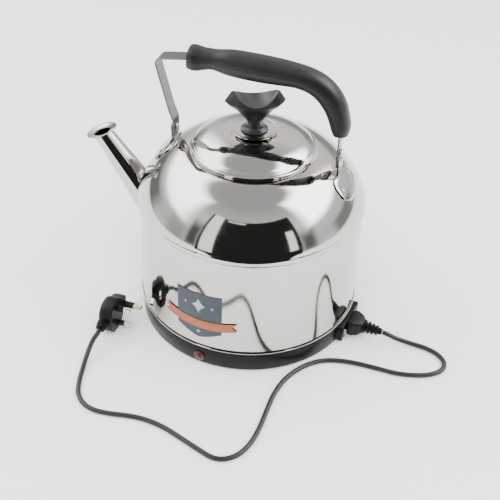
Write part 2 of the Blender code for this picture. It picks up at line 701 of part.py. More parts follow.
# x, z, half width across the handle, half height of the grip
GRIP_STATIONS = (
    (-77.0, 331.0, 12.6, 12.4), (-75.0, 331.0, 13.8, 13.6), (-69.0, 330.4, 13.8, 13.8),
    (-62.0, 330.9, 12.2, 12.2), (-54.0, 331.9, 11.6, 10.9), (-46.0, 332.2, 11.6, 10.9),
    (-32.0, 331.9, 13.4, 13.6), (-14.0, 331.4, 14.2, 14.4), (7.0, 330.9, 14.4, 14.4),
    (27.0, 330.6, 14.4, 13.4), (46.0, 329.8, 14.2, 12.2), (60.5, 327.0, 13.9, 12.0),
    (72.5, 321.6, 13.6, 12.4), (83.0, 312.4, 13.3, 12.8), (91.0, 300.6, 13.0, 12.6),
    (96.0, 287.6, 12.6, 11.8), (98.4, 278.5, 12.5, 11.2), (99.2, 272.6, 12.2, 10.4),
    (99.5, 269.0, 10.8, 8.2),
)


def handle_line():
    """Return the strap's middle line in X and Z, from front end to rear end."""
    foot_z = PIVOT_Z - STRAP_W / 2
    grip = [(x, z) for x, z, _, _ in GRIP_STATIONS]
    shift = [(PIVOT_FRONT_X, foot_z), (PIVOT_FRONT_X, PIVOT_Z + 11.2), (PIVOT_FRONT_X - 1.5, PIVOT_Z + 15.5),
             (PIVOT_FRONT_X - 4.8, PIVOT_Z + 24.0)]
    corner = Vector((BEND_X, BEND_Z))
    down = (Vector(shift[-1]) - corner).normalized()
    across = (Vector(grip[0]) - corner).normalized()
    bend = []
    for s in (0.0, 0.25, 0.5, 0.75, 1.0):
        a, b = corner + down * 10, corner + across * 10
        q = 1 - s
        bend.append(tuple(a * q * q + corner * 2 * q * s + b * s * s))
    return shift + bend + grip + [(PIVOT_REAR_X, PIVOT_Z + 14.0), (PIVOT_REAR_X, foot_z)]


def line_frames(line):
    """Return each point of a line in X and Z with its upward normal."""
    frames = []
    for i, point in enumerate(line):
        a = Vector(line[max(i - 1, 0)])
        b = Vector(line[min(i + 1, len(line) - 1)])
        along_line = (b - a).normalized()
        frames.append((Vector(point), Vector((-along_line.y, along_line.x))))
    return frames


def section_ring(point, normal, section):
    """Place a (width, height) section on the handle's line."""
    return [(point.x + normal.x * h, w, point.y + normal.y * h) for w, h in section]


def build_handle(rivet_tools):
    """Add strap, grip halves and grip screws."""
    frames = line_frames(handle_line())
    w, t = STRAP_W / 2, STRAP_T / 2
    section = [(-w, -t), (w, -t), (w, t), (-w, t)]
    strap = loft("handle_strap", [section_ring(p, n, section) for p, n in frames], STEEL, smooth=False)
    for tool in rivet_tools:
        use_tool(strap, tool)

    stations = [(x, z) for x, z, _, _ in GRIP_STATIONS]
    frames = line_frames(stations)
    halves = {}
    for name, sign in (("grip_upper", 1), ("grip_lower", -1)):
        rings = []
        for (point, normal), (_, _, half_w, half_h) in zip(frames, GRIP_STATIONS):
            half_w, half_h = half_w * GRIP_SCALE, half_h * GRIP_SCALE
            arc = []
            for k in range(9):
                a = math.pi * k / 8
                c, s = math.cos(a), math.sin(a)
                arc.append((half_w * math.copysign(abs(c) ** 0.82, c),
                            sign * (GAP / 2 + (half_h - GAP / 2) * abs(s) ** 0.82)))
            slot_w, slot_h = w + GAP, t + GAP
            slot = [(-slot_w, sign * GAP / 2), (-slot_w, sign * slot_h), (slot_w, sign * slot_h),
                    (slot_w, sign * GAP / 2)]
            rings.append(section_ring(point, normal, arc + slot))
        halves[name] = loft(name, rings, BLACK)
    for k, index in enumerate((4, 12)):
        point, normal = frames[index]
        half_h = GRIP_STATIONS[index][3] * GRIP_SCALE
        place = along((point.x, 0, point.y), (normal.x, 0, normal.y))
        lathe(f"grip_screw_{k + 1}", [
            (0, -half_h + 0.7), (2.9, -half_h + 0.7), (2.9, -half_h + 2.4), (1.5, -half_h + 3.2),
            (1.5, 5.0), (0, 5.0),
        ], DULL_STEEL, 20, place)
        head = lathe(f"tool_grip_screw_{k + 1}", [
            (0, -half_h - 6), (3.2, -half_h - 6), (3.2, -half_h + 2.7), (1.8, -half_h + 3.5),
            (1.8, 5.4), (0, 5.4),
        ], None, 20, place)
        use_tool(halves["grip_lower"], head)
        use_tool(halves["grip_upper"], head)
        use_tool(strap, head)


# --------------------------------------------------------------------------
# lid and knob
# --------------------------------------------------------------------------

def build_lid():
    """Add lid dome, its skirt, the knob's cup, the knob and its screw."""
    rise = LID_TOP_Z - LID_RIM_Z
    r, z, t = LID_R, LID_RIM_Z, LID_T
    dome = [(0.95, 0.25), (0.905, 0.373), (0.845, 0.496), (0.765, 0.632), (0.68, 0.737), (0.585, 0.829),
            (0.49, 0.895), (0.395, 0.936), (0.3, 0.967), (0.19, 0.989)]  # share of the radius, share of the rise
    top = [(r - 0.4, z), (r, z + 0.5), (r, z + 2.4), (r - 0.4, z + 3.6), (r - 1.6, z + 5.1)]
    top += [(r * share, z + rise * height) for share, height in dome] + [(3.2, z + rise)]
    low = [(3.2, z + rise - t)]
    low += [(r * share - 0.3 * t, z + rise * height - t) for share, height in dome[::-3]]
    low += [(r - 2.8, z + 4.5), (r - 1.4, z + 2.4), (r - 1.4, z)]
    lathe("lid_dome", top + low, STEEL)

    top_z = z + 0.43 * rise - t - GAP
    s = LID_SKIRT_R
    lathe("lid_skirt", [
        (s - 1.5, LID_SKIRT_FOOT_Z), (s - 0.6, LID_SKIRT_FOOT_Z), (s, LID_SKIRT_FOOT_Z + 1.2),
        (s, top_z - 0.4), (s - 5.0, top_z - 0.1), (s - 5.0, top_z - 1.0), (s - 1.0, top_z - 1.3),
        (s - 1.0, LID_SKIRT_FOOT_Z + 1.4),
    ], DULL_STEEL)

    c = CUP_R
    seat = LID_TOP_Z + GAP
    lathe("knob_cup", [
        (3.2, seat), (c * 0.6, seat), (c * 0.8, seat + 0.5), (c * 0.94, seat + 1.3), (c, seat + 2.1),
        (c - 0.2, seat + 2.7), (c - 0.9, seat + 2.7), (c * 0.9, seat + 2.1), (c * 0.76, seat + 1.4),
        (c * 0.58, seat + 1.0), (3.2, seat + 1.0),
    ], STEEL, 36)

    foot = seat + 1.0 + GAP
    levels = (  # half width, half depth, height at the wings' ends, height at the middle
        (13.0, 13.0, foot, foot), (15.4, 15.4, foot + 0.6, foot + 0.6), (15.2, 15.2, foot + 1.8, foot + 1.8),
        (12.6, 12.6, foot + 3.2, foot + 3.2), (10.2, 10.2, foot + 5.6, foot + 5.6),
        (9.2, 9.2, foot + 9.0, foot + 9.0), (9.9, 9.6, foot + 13.0, foot + 13.0),
        (14.0, 10.9, foot + 18.0, foot + 18.0), (21.5, 13.4, KNOB_TOP_Z - 22.0, KNOB_TOP_Z - 22.6),
        (30.0, 16.6, KNOB_TOP_Z - 16.2, KNOB_TOP_Z - 18.6), (KNOB_HALF_W, 18.6, KNOB_TOP_Z - 11.9, KNOB_TOP_Z - 15.0),
        (KNOB_HALF_W - 1.2, 18.9, KNOB_TOP_Z - 9.6, KNOB_TOP_Z - 13.8),
        (KNOB_HALF_W - 7.0, KNOB_DEPTH + 0.4, KNOB_TOP_Z - 0.6, KNOB_DIP_Z + 0.6),
        (KNOB_HALF_W - 8.2, KNOB_DEPTH - 0.6, KNOB_TOP_Z, KNOB_DIP_Z + 1.0),
    )
    steps = 32
    rings = []
    for half_w, half_d, end_z, mid_z in levels:
        blend = min(1.0, max(0.0, (half_w - 10) / 16))
        ring = []
        for i in range(steps):
            a = 2 * math.pi * i / steps
            c_, s_ = math.cos(a), math.sin(a)
            x = half_w * c_
            y = half_d * math.copysign(abs(s_) ** (1 + 0.35 * blend), s_)
            ring.append((x, y, mid_z + (end_z - mid_z) * c_ * c_))
        rings.append(ring)
    for share in (0.72, 0.4):
        ring = []
        for x, y, _ in rings[len(levels) - 1]:
            reach = share * x / (KNOB_HALF_W - 8.2)
            ring.append((x * share, y * share, KNOB_DIP_Z + (KNOB_TOP_Z - KNOB_DIP_Z) * reach * reach
                         + (1.0 * share if share > 0.5 else 0.3)))
        rings.append(ring)
    spin = Matrix.Rotation(math.radians(KNOB_TURN), 4, "Z")
    knob = loft("knob", rings, BLACK, spin, poles=(None, (0, 0, KNOB_DIP_Z)))
    use_tool(knob, cylinder("tool_knob_screw", 2.8, foot - 4, foot + 13, None, None, 24))
    lathe("knob_screw", [
        (0, LID_TOP_Z - t - GAP - 2.2), (5.0, LID_TOP_Z - t - GAP - 2.0), (5.6, LID_TOP_Z - t - GAP),
        (2.5, LID_TOP_Z - t - GAP), (2.5, foot + 12.0), (0, foot + 12.0),
    ], DULL_STEEL, 24)


# --------------------------------------------------------------------------
# lead
# --------------------------------------------------------------------------

def chamfered(half_w, half_h, cut):
    """Return an eight-sided section in Y and Z."""
    w, h, c = half_w, half_h, cut
    return [(w, -h + c), (w, h - c), (w - c, h), (-w + c, h), (-w, h - c), (-w, -h + c), (-w + c, -h),
            (w - c, -h)]


RELIEF_START = 157.6
RELIEF_END = 181.0


def build_lead():
    """Add connector, strain relief, cord, plug and its pins."""
    frame = turned(INLET_AZIMUTH, (0, 0, INLET_Z))
    face = INLET_FACE
    nose_w, nose_h = SOCKET_W / 2 - 0.7, SOCKET_H / 2 - 0.5
    stations = (
        (face - 14.5, nose_w, nose_h, 1.5), (face + 1.0, nose_w, nose_h, 1.5), (face + 1.4, 14.0, 10.0, 2.0),
        (face + 7.0, 14.2, 10.2, 2.4), (face + 12.0, 12.6, 9.4, 2.8), (face + 16.4, 8.6, 8.0, 2.8),
        (face + 17.8, 7.6, 7.4, 2.6),
    )
    rings = [[(x, y, z) for y, z in chamfered(w, h, c)] for x, w, h, c in stations]
    connector = loft("connector_body", rings, SOFT_BLACK, frame, smooth=False)
    for name, y, z in (("live", -7.0, -2.0), ("neutral", 7.0, -2.0), ("earth", 0.0, 2.0)):
        slot = box(f"tool_contact_{name}", (face - 18.0, y - 1.5, z - 2.5), (face - 2.5, y + 1.5, z + 2.5),
                   None, frame)
        use_tool(connector, slot)
    start, end = RELIEF_START, RELIEF_END
    step = (end - start - 3.0) / 4
    outline = [(0, start)]
    for k in range(4):
        z = start + k * step
        wide = 8.6 - 0.75 * k
        outline += [(wide - 0.6, z), (wide, z + 0.6), (wide, z + step * 0.5), (wide - 0.6, z + step * 0.6),
                    (5.2 - 0.25 * k, z + step * 0.68), (5.1 - 0.25 * k, z + step * 0.98)]
    outline += [(CORD_R + 1.3, end - 2.4), (CORD_R + 0.7, end), (0, end)]
    relief_frame = frame @ Matrix.Rotation(math.radians(90), 4, "Y")
    lathe("connector_relief", outline, SOFT_BLACK, 16, relief_frame)

    heading = frame.to_3x3() @ Vector((1, 0, 0))
    exit_point = frame @ Vector((end + 4 * GAP, 0, 0))
    plug_exit = Vector((PLUG_FACE_X - PLUG_DEPTH * 0.56, PLUG_Y - 31.0, PLUG_Z))
    route = [exit_point, exit_point + heading * 7.0 + Vector((0, 0, -0.8))]
    route += [Vector(p) for p in CORD_ROUTE]
    route += [plug_exit + Vector((0, -7.0, -0.8)), plug_exit + Vector((0, -4 * GAP, 0))]
    tube("cord", catmull(route, 15.0), CORD_R, SOFT_BLACK, 3)

    outline = ((29.0, 9.0), (20.0, 10.6), (11.0, 18.6), (5.0, 21.2), (-8.0, 21.2), (-15.5, 14.8),
               (-19.0, 9.0))
    half = [(PLUG_Y + y, w) for y, w in outline]
    contour = half + [(y, -w) for y, w in half[::-1]]
    rings = []
    for x, share in ((PLUG_FACE_X, 0.985), (PLUG_FACE_X - 1.0, 1.0), (PLUG_FACE_X - PLUG_DEPTH * 0.7, 1.0),
                     (PLUG_FACE_X - PLUG_DEPTH * 0.92, 0.93), (PLUG_FACE_X - PLUG_DEPTH, 0.84)):
        rings.append([(x, PLUG_Y + 5 + (y - PLUG_Y - 5) * share, PLUG_Z + w * share) for y, w in contour])
    loft("plug_body", rings, SOFT_BLACK, smooth=False)
    grip = along((plug_exit.x, PLUG_Y - 19.0 - GAP, PLUG_Z), (0, -1, 0))
    lathe("plug_relief", [
        (0, 0), (7.6, 0), (7.6, 2.2), (6.2, 2.8), (6.2, 4.0), (7.0, 4.6), (6.8, 6.4), (5.6, 7.0),
        (5.4, 8.2), (6.0, 8.8), (5.8, 10.2), (4.6, 10.8), (CORD_R + 0.8, 11.6), (0, 11.6),
    ], SOFT_BLACK, 16, grip)
    x0 = PLUG_FACE_X + GAP
    half_pitch = PIN_PITCH / 2
    for name, y, z, dy, dz, length in (
        ("pin_live", PLUG_Y, PLUG_Z + half_pitch, 2.0, 3.2, PIN_L),
        ("pin_neutral", PLUG_Y, PLUG_Z - half_pitch, 2.0, 3.2, PIN_L),
        ("pin_earth", PLUG_Y + PIN_PITCH, PLUG_Z, 4.0, 2.0, EARTH_PIN_L),
    ):
        box(name, (x0, y - dy, z - dz), (x0 + length, y + dy, z + dz), BRASS, None, 0.7)


# --------------------------------------------------------------------------
# assembly
# --------------------------------------------------------------------------

def main():
    """Build the whole kettle."""
    block = body_block()
    floor = build_vessel()
    build_spout(block)
    skirt = build_base()
    build_lamp(skirt)
    build_inlet(skirt)
    build_heating(floor)
    build_badge()
    front_tool = build_rivet("rivet_front", -1, PIVOT_FRONT_X)
    rear_tool = build_rivet("rivet_rear", 1, PIVOT_REAR_X)
    use_tool(build_ear("ear_front", -1, PIVOT_FRONT_X, block), front_tool)
    use_tool(build_ear("ear_rear", 1, PIVOT_REAR_X, block), rear_tool)
    build_handle((front_tool, rear_tool))
    build_lid()
    build_lead()


main()
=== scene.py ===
"""Looks of a polished electric kettle: detailed pieces, finishes, studio and camera."""

import json
import logging
import math
from dataclasses import dataclass
from enum import Enum
from typing import Callable, Iterable, Sequence, Union

import bmesh
import bpy
from mathutils import Matrix, Vector


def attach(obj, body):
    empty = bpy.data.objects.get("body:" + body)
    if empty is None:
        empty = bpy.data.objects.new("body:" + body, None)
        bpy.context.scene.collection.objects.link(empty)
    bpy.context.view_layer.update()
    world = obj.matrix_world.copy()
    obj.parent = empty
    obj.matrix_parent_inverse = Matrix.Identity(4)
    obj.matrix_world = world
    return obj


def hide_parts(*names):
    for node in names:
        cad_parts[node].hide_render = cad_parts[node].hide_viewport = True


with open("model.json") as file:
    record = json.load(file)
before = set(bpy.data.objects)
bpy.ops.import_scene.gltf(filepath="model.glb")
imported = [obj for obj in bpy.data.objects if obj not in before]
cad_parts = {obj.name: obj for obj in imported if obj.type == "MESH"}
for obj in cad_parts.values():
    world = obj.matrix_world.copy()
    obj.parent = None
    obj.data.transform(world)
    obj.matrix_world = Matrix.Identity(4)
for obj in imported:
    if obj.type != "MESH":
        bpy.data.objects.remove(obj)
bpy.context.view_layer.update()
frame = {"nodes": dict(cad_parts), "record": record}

LOG = logging.getLogger("kettle")
MM = 0.001
GAP = 0.3

Point2 = tuple[float, float]
Point3 = tuple[float, float, float]
Colour = tuple[float, float, float]


# --------------------------------------------------------------------------
# shader maths
# --------------------------------------------------------------------------


@dataclass(frozen=True)
class Wire:
    """A shader socket that takes part in arithmetic."""

    board: "Board"
    socket: bpy.types.NodeSocket

    def _math(self, operation: str, *terms: "Term") -> "Wire":
        """Add a Math node.

        Args:
            operation: The node's operation.
            terms: Numbers or wires, in socket order.

        Returns:
            The node's output.
        """
        return self.board.add("ShaderNodeMath", {"operation": operation}, dict(enumerate(terms)))

    def __add__(self, other: "Term") -> "Wire":
        """Return the sum."""
        return self._math("ADD", self, other)

    __radd__ = __add__

    def __sub__(self, other: "Term") -> "Wire":
        """Return the difference."""
        return self._math("SUBTRACT", self, other)

    def __mul__(self, other: "Term") -> "Wire":
        """Return the product."""
        return self._math("MULTIPLY", self, other)

    __rmul__ = __mul__

    def __pow__(self, other: "Term") -> "Wire":
        """Return the power."""
        return self._math("POWER", self, other)


Term = Union[Wire, float, int, tuple]


class Board:
    """A material's node tree, with one way to add a node."""

    def __init__(self, name: str) -> None:
        """Make a Principled material.

        Args:
            name: The material's name.
        """
        self.material = bpy.data.materials.new(name)
        self.material.use_nodes = True
        self.tree = self.material.node_tree
        self.shader = self.tree.nodes["Principled BSDF"]

    def add(self, kind: str, settings: dict | None = None, values: dict | None = None,
            out: int | str = 0) -> Wire:
        """Add a node.

        Args:
            kind: The node's type.
            settings: Properties to set first; "stops" holds a ramp's stops.
            values: Values or wires by socket name or number.
            out: The output wanted.

        Returns:
            The wanted output.
        """
        node = self.tree.nodes.new(kind)
        for key, value in (settings or {}).items():
            if key == "stops":
                self._set_stops(node, value)
            else:
                setattr(node, key, value)
        for key, value in (values or {}).items():
            self.feed(node.inputs[key], value)
        return Wire(self, node.outputs[out])

    def feed(self, socket: bpy.types.NodeSocket, value: Term) -> None:
        """Link or set one input socket."""
        if isinstance(value, Wire):
            self.tree.links.new(value.socket, socket)
        elif isinstance(value, tuple) and socket.type == "RGBA":
            socket.default_value = (*value[:3], 1.0)
        else:
            socket.default_value = value

    @staticmethod
    def _set_stops(node: bpy.types.Node, stops: Sequence[tuple]) -> None:
        """Set a ramp's stops, each a place and a grey level or a colour."""
        ramp = node.color_ramp
        while len(ramp.elements) < len(stops):
            ramp.elements.new(0.5)
        for element, (place, value) in zip(ramp.elements, stops):
            element.position = place
            colour = value if isinstance(value, tuple) else (value,) * 3
            element.color = (*colour, 1.0)

    def place(self) -> Wire:
        """Return the Object coordinates."""
        return self.add("ShaderNodeTexCoord", out="Object")

    def stretched(self, scale: Point3) -> Wire:
        """Return the Object coordinates multiplied axis by axis."""
        return self.add("ShaderNodeVectorMath", {"operation": "MULTIPLY"}, {0: self.place(), 1: scale})

    def noise(self, vector: Wire, scale: float, detail: float = 3.0, rough: float = 0.5) -> Wire:
        """Return a noise value about 0.5."""
        return self.add("ShaderNodeTexNoise", None,
                        {"Vector": vector, "Scale": scale, "Detail": detail, "Roughness": rough}, "Fac")

    def ramp(self, value: Wire, *stops: tuple) -> Wire:
        """Return a value taken through a ramp."""
        return self.add("ShaderNodeValToRGB", {"stops": stops}, {"Fac": value}, "Color")

    def mix(self, factor: Term, first: Term, second: Term) -> Wire:
        """Return a mix of two colours."""
        return self.add("ShaderNodeMix", {"data_type": "RGBA"}, {0: factor, 6: first, 7: second}, 2)

    def bump(self, height: Wire, distance: float, strength: float) -> Wire:
        """Return a normal bent by a height in metres."""
        return self.add("ShaderNodeBump", None,
                        {"Height": height, "Distance": distance, "Strength": strength}, "Normal")

    def set(self, **sockets: Term) -> bpy.types.Material:
        """Feed the shader.

        Args:
            sockets: Values or wires by socket name, with _ for a space.

        Returns:
            The finished material.
        """
        for name, value in sockets.items():
            self.feed(self.shader.inputs[name.replace("_", " ")], value)
        return self.material


# --------------------------------------------------------------------------
# finishes
# --------------------------------------------------------------------------


class Marks(Enum):
    """The direction of the faint marks that working leaves in a metal."""

    ROUND = "round the upright axis"
    ALONG = "along the part"
    NONE = "no direction"


@dataclass(frozen=True)
class Steel:
    """Stainless steel from mirror-polished to plain."""

    name: str
    tint: Colour = (0.53, 0.516, 0.49)
    roughness: float = 0.045
    haze: float = 0.05
    marks: Marks = Marks.ROUND
    depth: float = 0.02

    def build(self) -> bpy.types.Material:
        """Return the material."""
        board = Board(self.name)
        place = board.place()
        if self.marks is Marks.ROUND:
            split = board.add("ShaderNodeSeparateXYZ", None, {0: place})
            x, y, z = (Wire(board, split.socket.node.outputs[i]) for i in range(3))
            radius = (x * x + y * y) ** 0.5
            lines = board.add("ShaderNodeCombineXYZ", None, {0: radius * 2600.0, 1: z * 2600.0, 2: x * 14.0})
        elif self.marks is Marks.ALONG:
            lines = board.stretched((30.0, 2400.0, 240.0))
        else:
            lines = board.stretched((500.0, 500.0, 500.0))
        fine = board.noise(lines, 1.0, 2.0, 0.6)
        wipes = board.noise(place, 17.0, 5.0, 0.62)
        cloudy = board.ramp(wipes, (0.42, 0.0), (0.72, 1.0))
        spots = board.ramp(board.noise(place, 160.0, 2.0), (0.66, 0.0), (0.74, 1.0))
        tint = board.mix(cloudy * 0.35 + fine * 0.2, self.tint, tuple(c * 0.93 for c in self.tint))
        rough = self.roughness + cloudy * self.haze + fine * (self.haze * 0.5) + spots * (self.haze * 0.4)
        normal = board.bump(fine, 0.0002, self.depth)
        return board.set(Base_Color=tint, Metallic=1.0, Roughness=rough, Normal=normal)


@dataclass(frozen=True)
class Moulded:
    """Moulded plastic with a fine grain and a little dust."""

    name: str
    colour: Colour = (0.02, 0.02, 0.022)
    roughness: float = 0.4
    grain: float = 900.0
    depth: float = 0.12
    dust: float = 0.25
    sheen: float = 0.5

    def build(self) -> bpy.types.Material:
        """Return the material."""
        board = Board(self.name)
        place = board.place()
        grain = board.noise(place, self.grain, 2.0, 0.55)
        waves = board.noise(place, 55.0, 3.0)
        patches = board.ramp(board.noise(place, 24.0, 6.0, 0.65), (0.5, 0.0), (0.78, 1.0))
        specks = board.ramp(board.noise(place, 420.0, 1.0), (0.7, 0.0), (0.76, 1.0))
        pale = tuple(min(1.0, c * 1.5 + 0.012) for c in self.colour)
        colour = board.mix(patches * self.dust + specks * (self.dust * 0.5), self.colour, pale)
        rough = self.roughness + (waves - 0.5) * 0.14 + patches * 0.08
        normal = board.bump(grain + waves * 1.5, 0.0003, self.depth)
        return board.set(Base_Color=colour, Roughness=rough, Normal=normal, Specular_IOR_Level=self.sheen)


@dataclass(frozen=True)
class Sheath:
    """Flexible cable sheath: satin, with faint lengthwise rubbing."""

    name: str
    colour: Colour = (0.006, 0.006, 0.0065)
    roughness: float = 0.42

    def build(self) -> bpy.types.Material:
        """Return the material."""
        board = Board(self.name)
        place = board.place()
        rub = board.ramp(board.noise(place, 38.0, 5.0, 0.6), (0.45, 0.0), (0.75, 1.0))
        fine = board.noise(place, 1300.0, 2.0)
        colour = board.mix(rub * 0.4, self.colour, tuple(c * 1.9 for c in self.colour))
        rough = self.roughness + rub * 0.12 - fine * 0.05
        normal = board.bump(fine, 0.0002, 0.15)
        return board.set(Base_Color=colour, Roughness=rough, Normal=normal)


@dataclass(frozen=True)
class Lens:
    """Clear coloured plastic lens over a lamp."""

    name: str
    colour: Colour = (0.06, 0.002, 0.002)

    def build(self) -> bpy.types.Material:
        """Return the material."""
        board = Board(self.name)
        place = board.place()
        cells = board.add("ShaderNodeTexVoronoi", None, {"Vector": place, "Scale": 620.0}, "Distance")
        depth = board.noise(place, 260.0, 2.0)
        colour = board.mix(depth, self.colour, tuple(c * 0.35 for c in self.colour))
        glow = board.mix(cells, (0.12, 0.006, 0.004), (0.03, 0.0, 0.0))
        normal = board.bump(cells, 0.0006, 0.25)
        return board.set(Base_Color=colour, Roughness=0.12 + depth * 0.1, Emission_Color=glow,
                         Emission_Strength=0.3, Normal=normal, Coat_Weight=0.2, Coat_Roughness=0.1,
                         Specular_IOR_Level=0.25)


@dataclass(frozen=True)
class Print:
    """Printed film on the wall, with faint wear."""

    name: str
    colour: Colour
    shade: Colour
    roughness: float = 0.3

    def build(self) -> bpy.types.Material:
        """Return the material."""
        board = Board(self.name)
        place = board.place()
        fade = board.noise(board.stretched((14.0, 14.0, 60.0)), 1.0, 3.0)
        fleck = board.ramp(board.noise(place, 700.0, 2.0), (0.68, 0.0), (0.74, 1.0))
        colour = board.mix(fade, self.colour, self.shade)
        colour = board.mix(fleck * 0.3, colour, (0.5, 0.5, 0.5))
        normal = board.bump(board.noise(place, 500.0, 2.0), 0.0001, 0.1)
        return board.set(Base_Color=colour, Roughness=self.roughness + fade * 0.12, Normal=normal)


class Finishes:
    """Every material of the kettle, made once."""

    def __init__(self) -> None:
        """Build the materials."""
        self.body = Steel("polished_body").build()
        self.lid = Steel("polished_lid", roughness=0.055, haze=0.06).build()
        self.cone = Steel("polished_spout", marks=Marks.NONE, roughness=0.06).build()
        self.strap = Steel("satin_strap", (0.13, 0.128, 0.124), 0.16, 0.1, Marks.ALONG, 0.1).build()
        self.rivet = Steel("rivet_steel", (0.5, 0.5, 0.49), 0.16, 0.1, Marks.NONE, 0.1).build()
        self.plain = Steel("plain_steel", (0.55, 0.55, 0.54), 0.3, 0.12, Marks.ROUND, 0.2).build()
        self.screw = Steel("screw_steel", (0.5, 0.5, 0.5), 0.25, 0.1, Marks.NONE, 0.15).build()
        self.brass = Steel("pin_brass", (0.72, 0.6, 0.34), 0.2, 0.14, Marks.NONE, 0.12).build()
        self.tip = Steel("pin_tip", (0.74, 0.68, 0.5), 0.17, 0.14, Marks.NONE, 0.12).build()
        self.grip = Moulded("grip_plastic", (0.005, 0.005, 0.006), 0.4, 700.0, 0.1, 0.1, 0.38).build()
        self.knob = Moulded("knob_plastic", (0.007, 0.007, 0.0085), 0.34, 700.0, 0.08, 0.1, 0.45).build()
        self.base = Moulded("base_plastic", (0.002, 0.002, 0.0022), 0.34, 500.0, 0.08, 0.05, 0.14).build()
        self.plug = Moulded("plug_plastic", (0.002, 0.002, 0.0025), 0.42, 900.0, 0.14, 0.06, 0.2).build()
        self.seal = Moulded("seal_rubber", (0.006, 0.006, 0.006), 0.6, 400.0, 0.1, 0.1, 0.3).build()
        self.foot = Moulded("foot_rubber", (0.02, 0.02, 0.02), 0.7, 500.0, 0.3, 0.5).build()
        self.white = Moulded("white_plastic", (0.72, 0.7, 0.65), 0.45, 500.0, 0.06, 0.2).build()
        self.cord = Sheath("cord_sheath").build()
        self.lens = Lens("red_lens").build()
        self.shield = Print("shield_print", (0.013, 0.023, 0.038), (0.009, 0.015, 0.026)).build()
        self.border = Print("border_print", (0.36, 0.39, 0.42), (0.27, 0.3, 0.33)).build()
        self.ribbon = Print("ribbon_print", (0.3, 0.075, 0.022), (0.22, 0.05, 0.014)).build()
        self.ribbon_end = Print("ribbon_tail_print", (0.42, 0.19, 0.1), (0.32, 0.12, 0.06)).build()

    def for_slot(self, slot: str) -> bpy.types.Material:
        """Return the finish of a record slot, for CAD nodes that stay in view."""
        table = {
            "polished_steel": self.body, "plain_steel": self.plain, "pin_brass": self.brass,
            "grip_black": self.grip, "base_black": self.base, "foot_rubber": self.foot,
            "cord_black": self.plug, "lamp_red": self.lens, "ceramic_white": self.white,
            "badge_dark": self.shield, "badge_orange": self.ribbon,
        }
        return table[slot]


# --------------------------------------------------------------------------
# mesh making
# --------------------------------------------------------------------------


@dataclass
class Maker:
    """Turns bmeshes in millimetres into pieces that ride on a body."""

    body: str

    def piece(self, bm: bmesh.types.BMesh, name: str, finish: bpy.types.Material | Sequence,
              slot: str, nodes: Iterable[str] = (), matrix: Matrix | None = None,
              sharp: float = 32.0) -> bpy.types.Object:
        """Finish a mesh as a piece.

        Args:
            bm: The mesh, in millimetres; it is freed.
            name: The piece's name.
            finish: Its material, or several.
            slot: The record's material slot; not used.
            nodes: The CAD nodes it replaces.
            matrix: Where it goes, in millimetres.
            sharp: Edges over this many degrees are shaded sharp.

        Returns:
            The new object.
        """
        if matrix is not None:
            bmesh.ops.transform(bm, matrix=matrix, verts=bm.verts)
        bmesh.ops.scale(bm, vec=(MM, MM, MM), verts=bm.verts)
        bmesh.ops.recalc_face_normals(bm, faces=bm.faces)
        mesh = bpy.data.meshes.new(name)
        bm.to_mesh(mesh)
        bm.free()
        mesh.polygons.foreach_set("use_smooth", [True] * len(mesh.polygons))
        mesh.set_sharp_from_angle(angle=math.radians(sharp))
        obj = bpy.data.objects.new(name, mesh)
        bpy.context.scene.collection.objects.link(obj)
        for material in finish if isinstance(finish, (list, tuple)) else (finish,):
            mesh.materials.append(material)
        if nodes:
            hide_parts(*nodes)
        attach(obj, self.body)
        LOG.info("%s: %d faces", name, len(mesh.polygons))
        return obj


def profile_mesh(profile: Sequence[Point2], steps: int, closed: bool = True) -> bmesh.types.BMesh:
    """Spin an outline round Z.

    Args:
        profile: Radius and height of each point.
        steps: Facets round the axis.
        closed: Whether the outline's ends are joined.

    Returns:
        The turned mesh.
    """
    bm = bmesh.new()
    verts = [bm.verts.new((r, 0.0, z)) for r, z in profile]
    edges = [bm.edges.new(pair) for pair in zip(verts, verts[1:])]
    if closed and min(profile[0][0], profile[-1][0]) > 1e-6:
        edges.append(bm.edges.new((verts[-1], verts[0])))
    bmesh.ops.spin(bm, geom=verts + edges, cent=(0, 0, 0), axis=(0, 0, 1), angle=2 * math.pi,
                   steps=steps, use_merge=True)
    bmesh.ops.remove_doubles(bm, verts=bm.verts, dist=1e-4)
    return bm


def swept_mesh(loops: Sequence[Sequence[Point3]], caps: bool = True) -> bmesh.types.BMesh:
    """Pull a loop through a list of sections.

    Args:
        loops: Sections with the same number of points.
        caps: Whether the two ends are closed.

    Returns:
        The swept mesh.
    """
    bm = bmesh.new()
    verts = [bm.verts.new(p) for p in loops[0]]
    edges = [bm.edges.new(pair) for pair in zip(verts, verts[1:] + verts[:1])]
    if caps:
        bm.faces.new(verts)
    for loop in loops[1:]:
        new = bmesh.ops.extrude_edge_only(bm, edges=edges)["geom"]
        fresh = {v for v in new if isinstance(v, bmesh.types.BMVert)}
        follow = []
        for vert in verts:
            follow.append(next(e.other_vert(vert) for e in vert.link_edges if e.other_vert(vert) in fresh))
        for vert, point in zip(follow, loop):
            vert.co = point
        verts = follow
        edges = [bm.edges.get(pair) for pair in zip(verts, verts[1:] + verts[:1])]
    if caps:
        bm.faces.new(verts)
    return bm


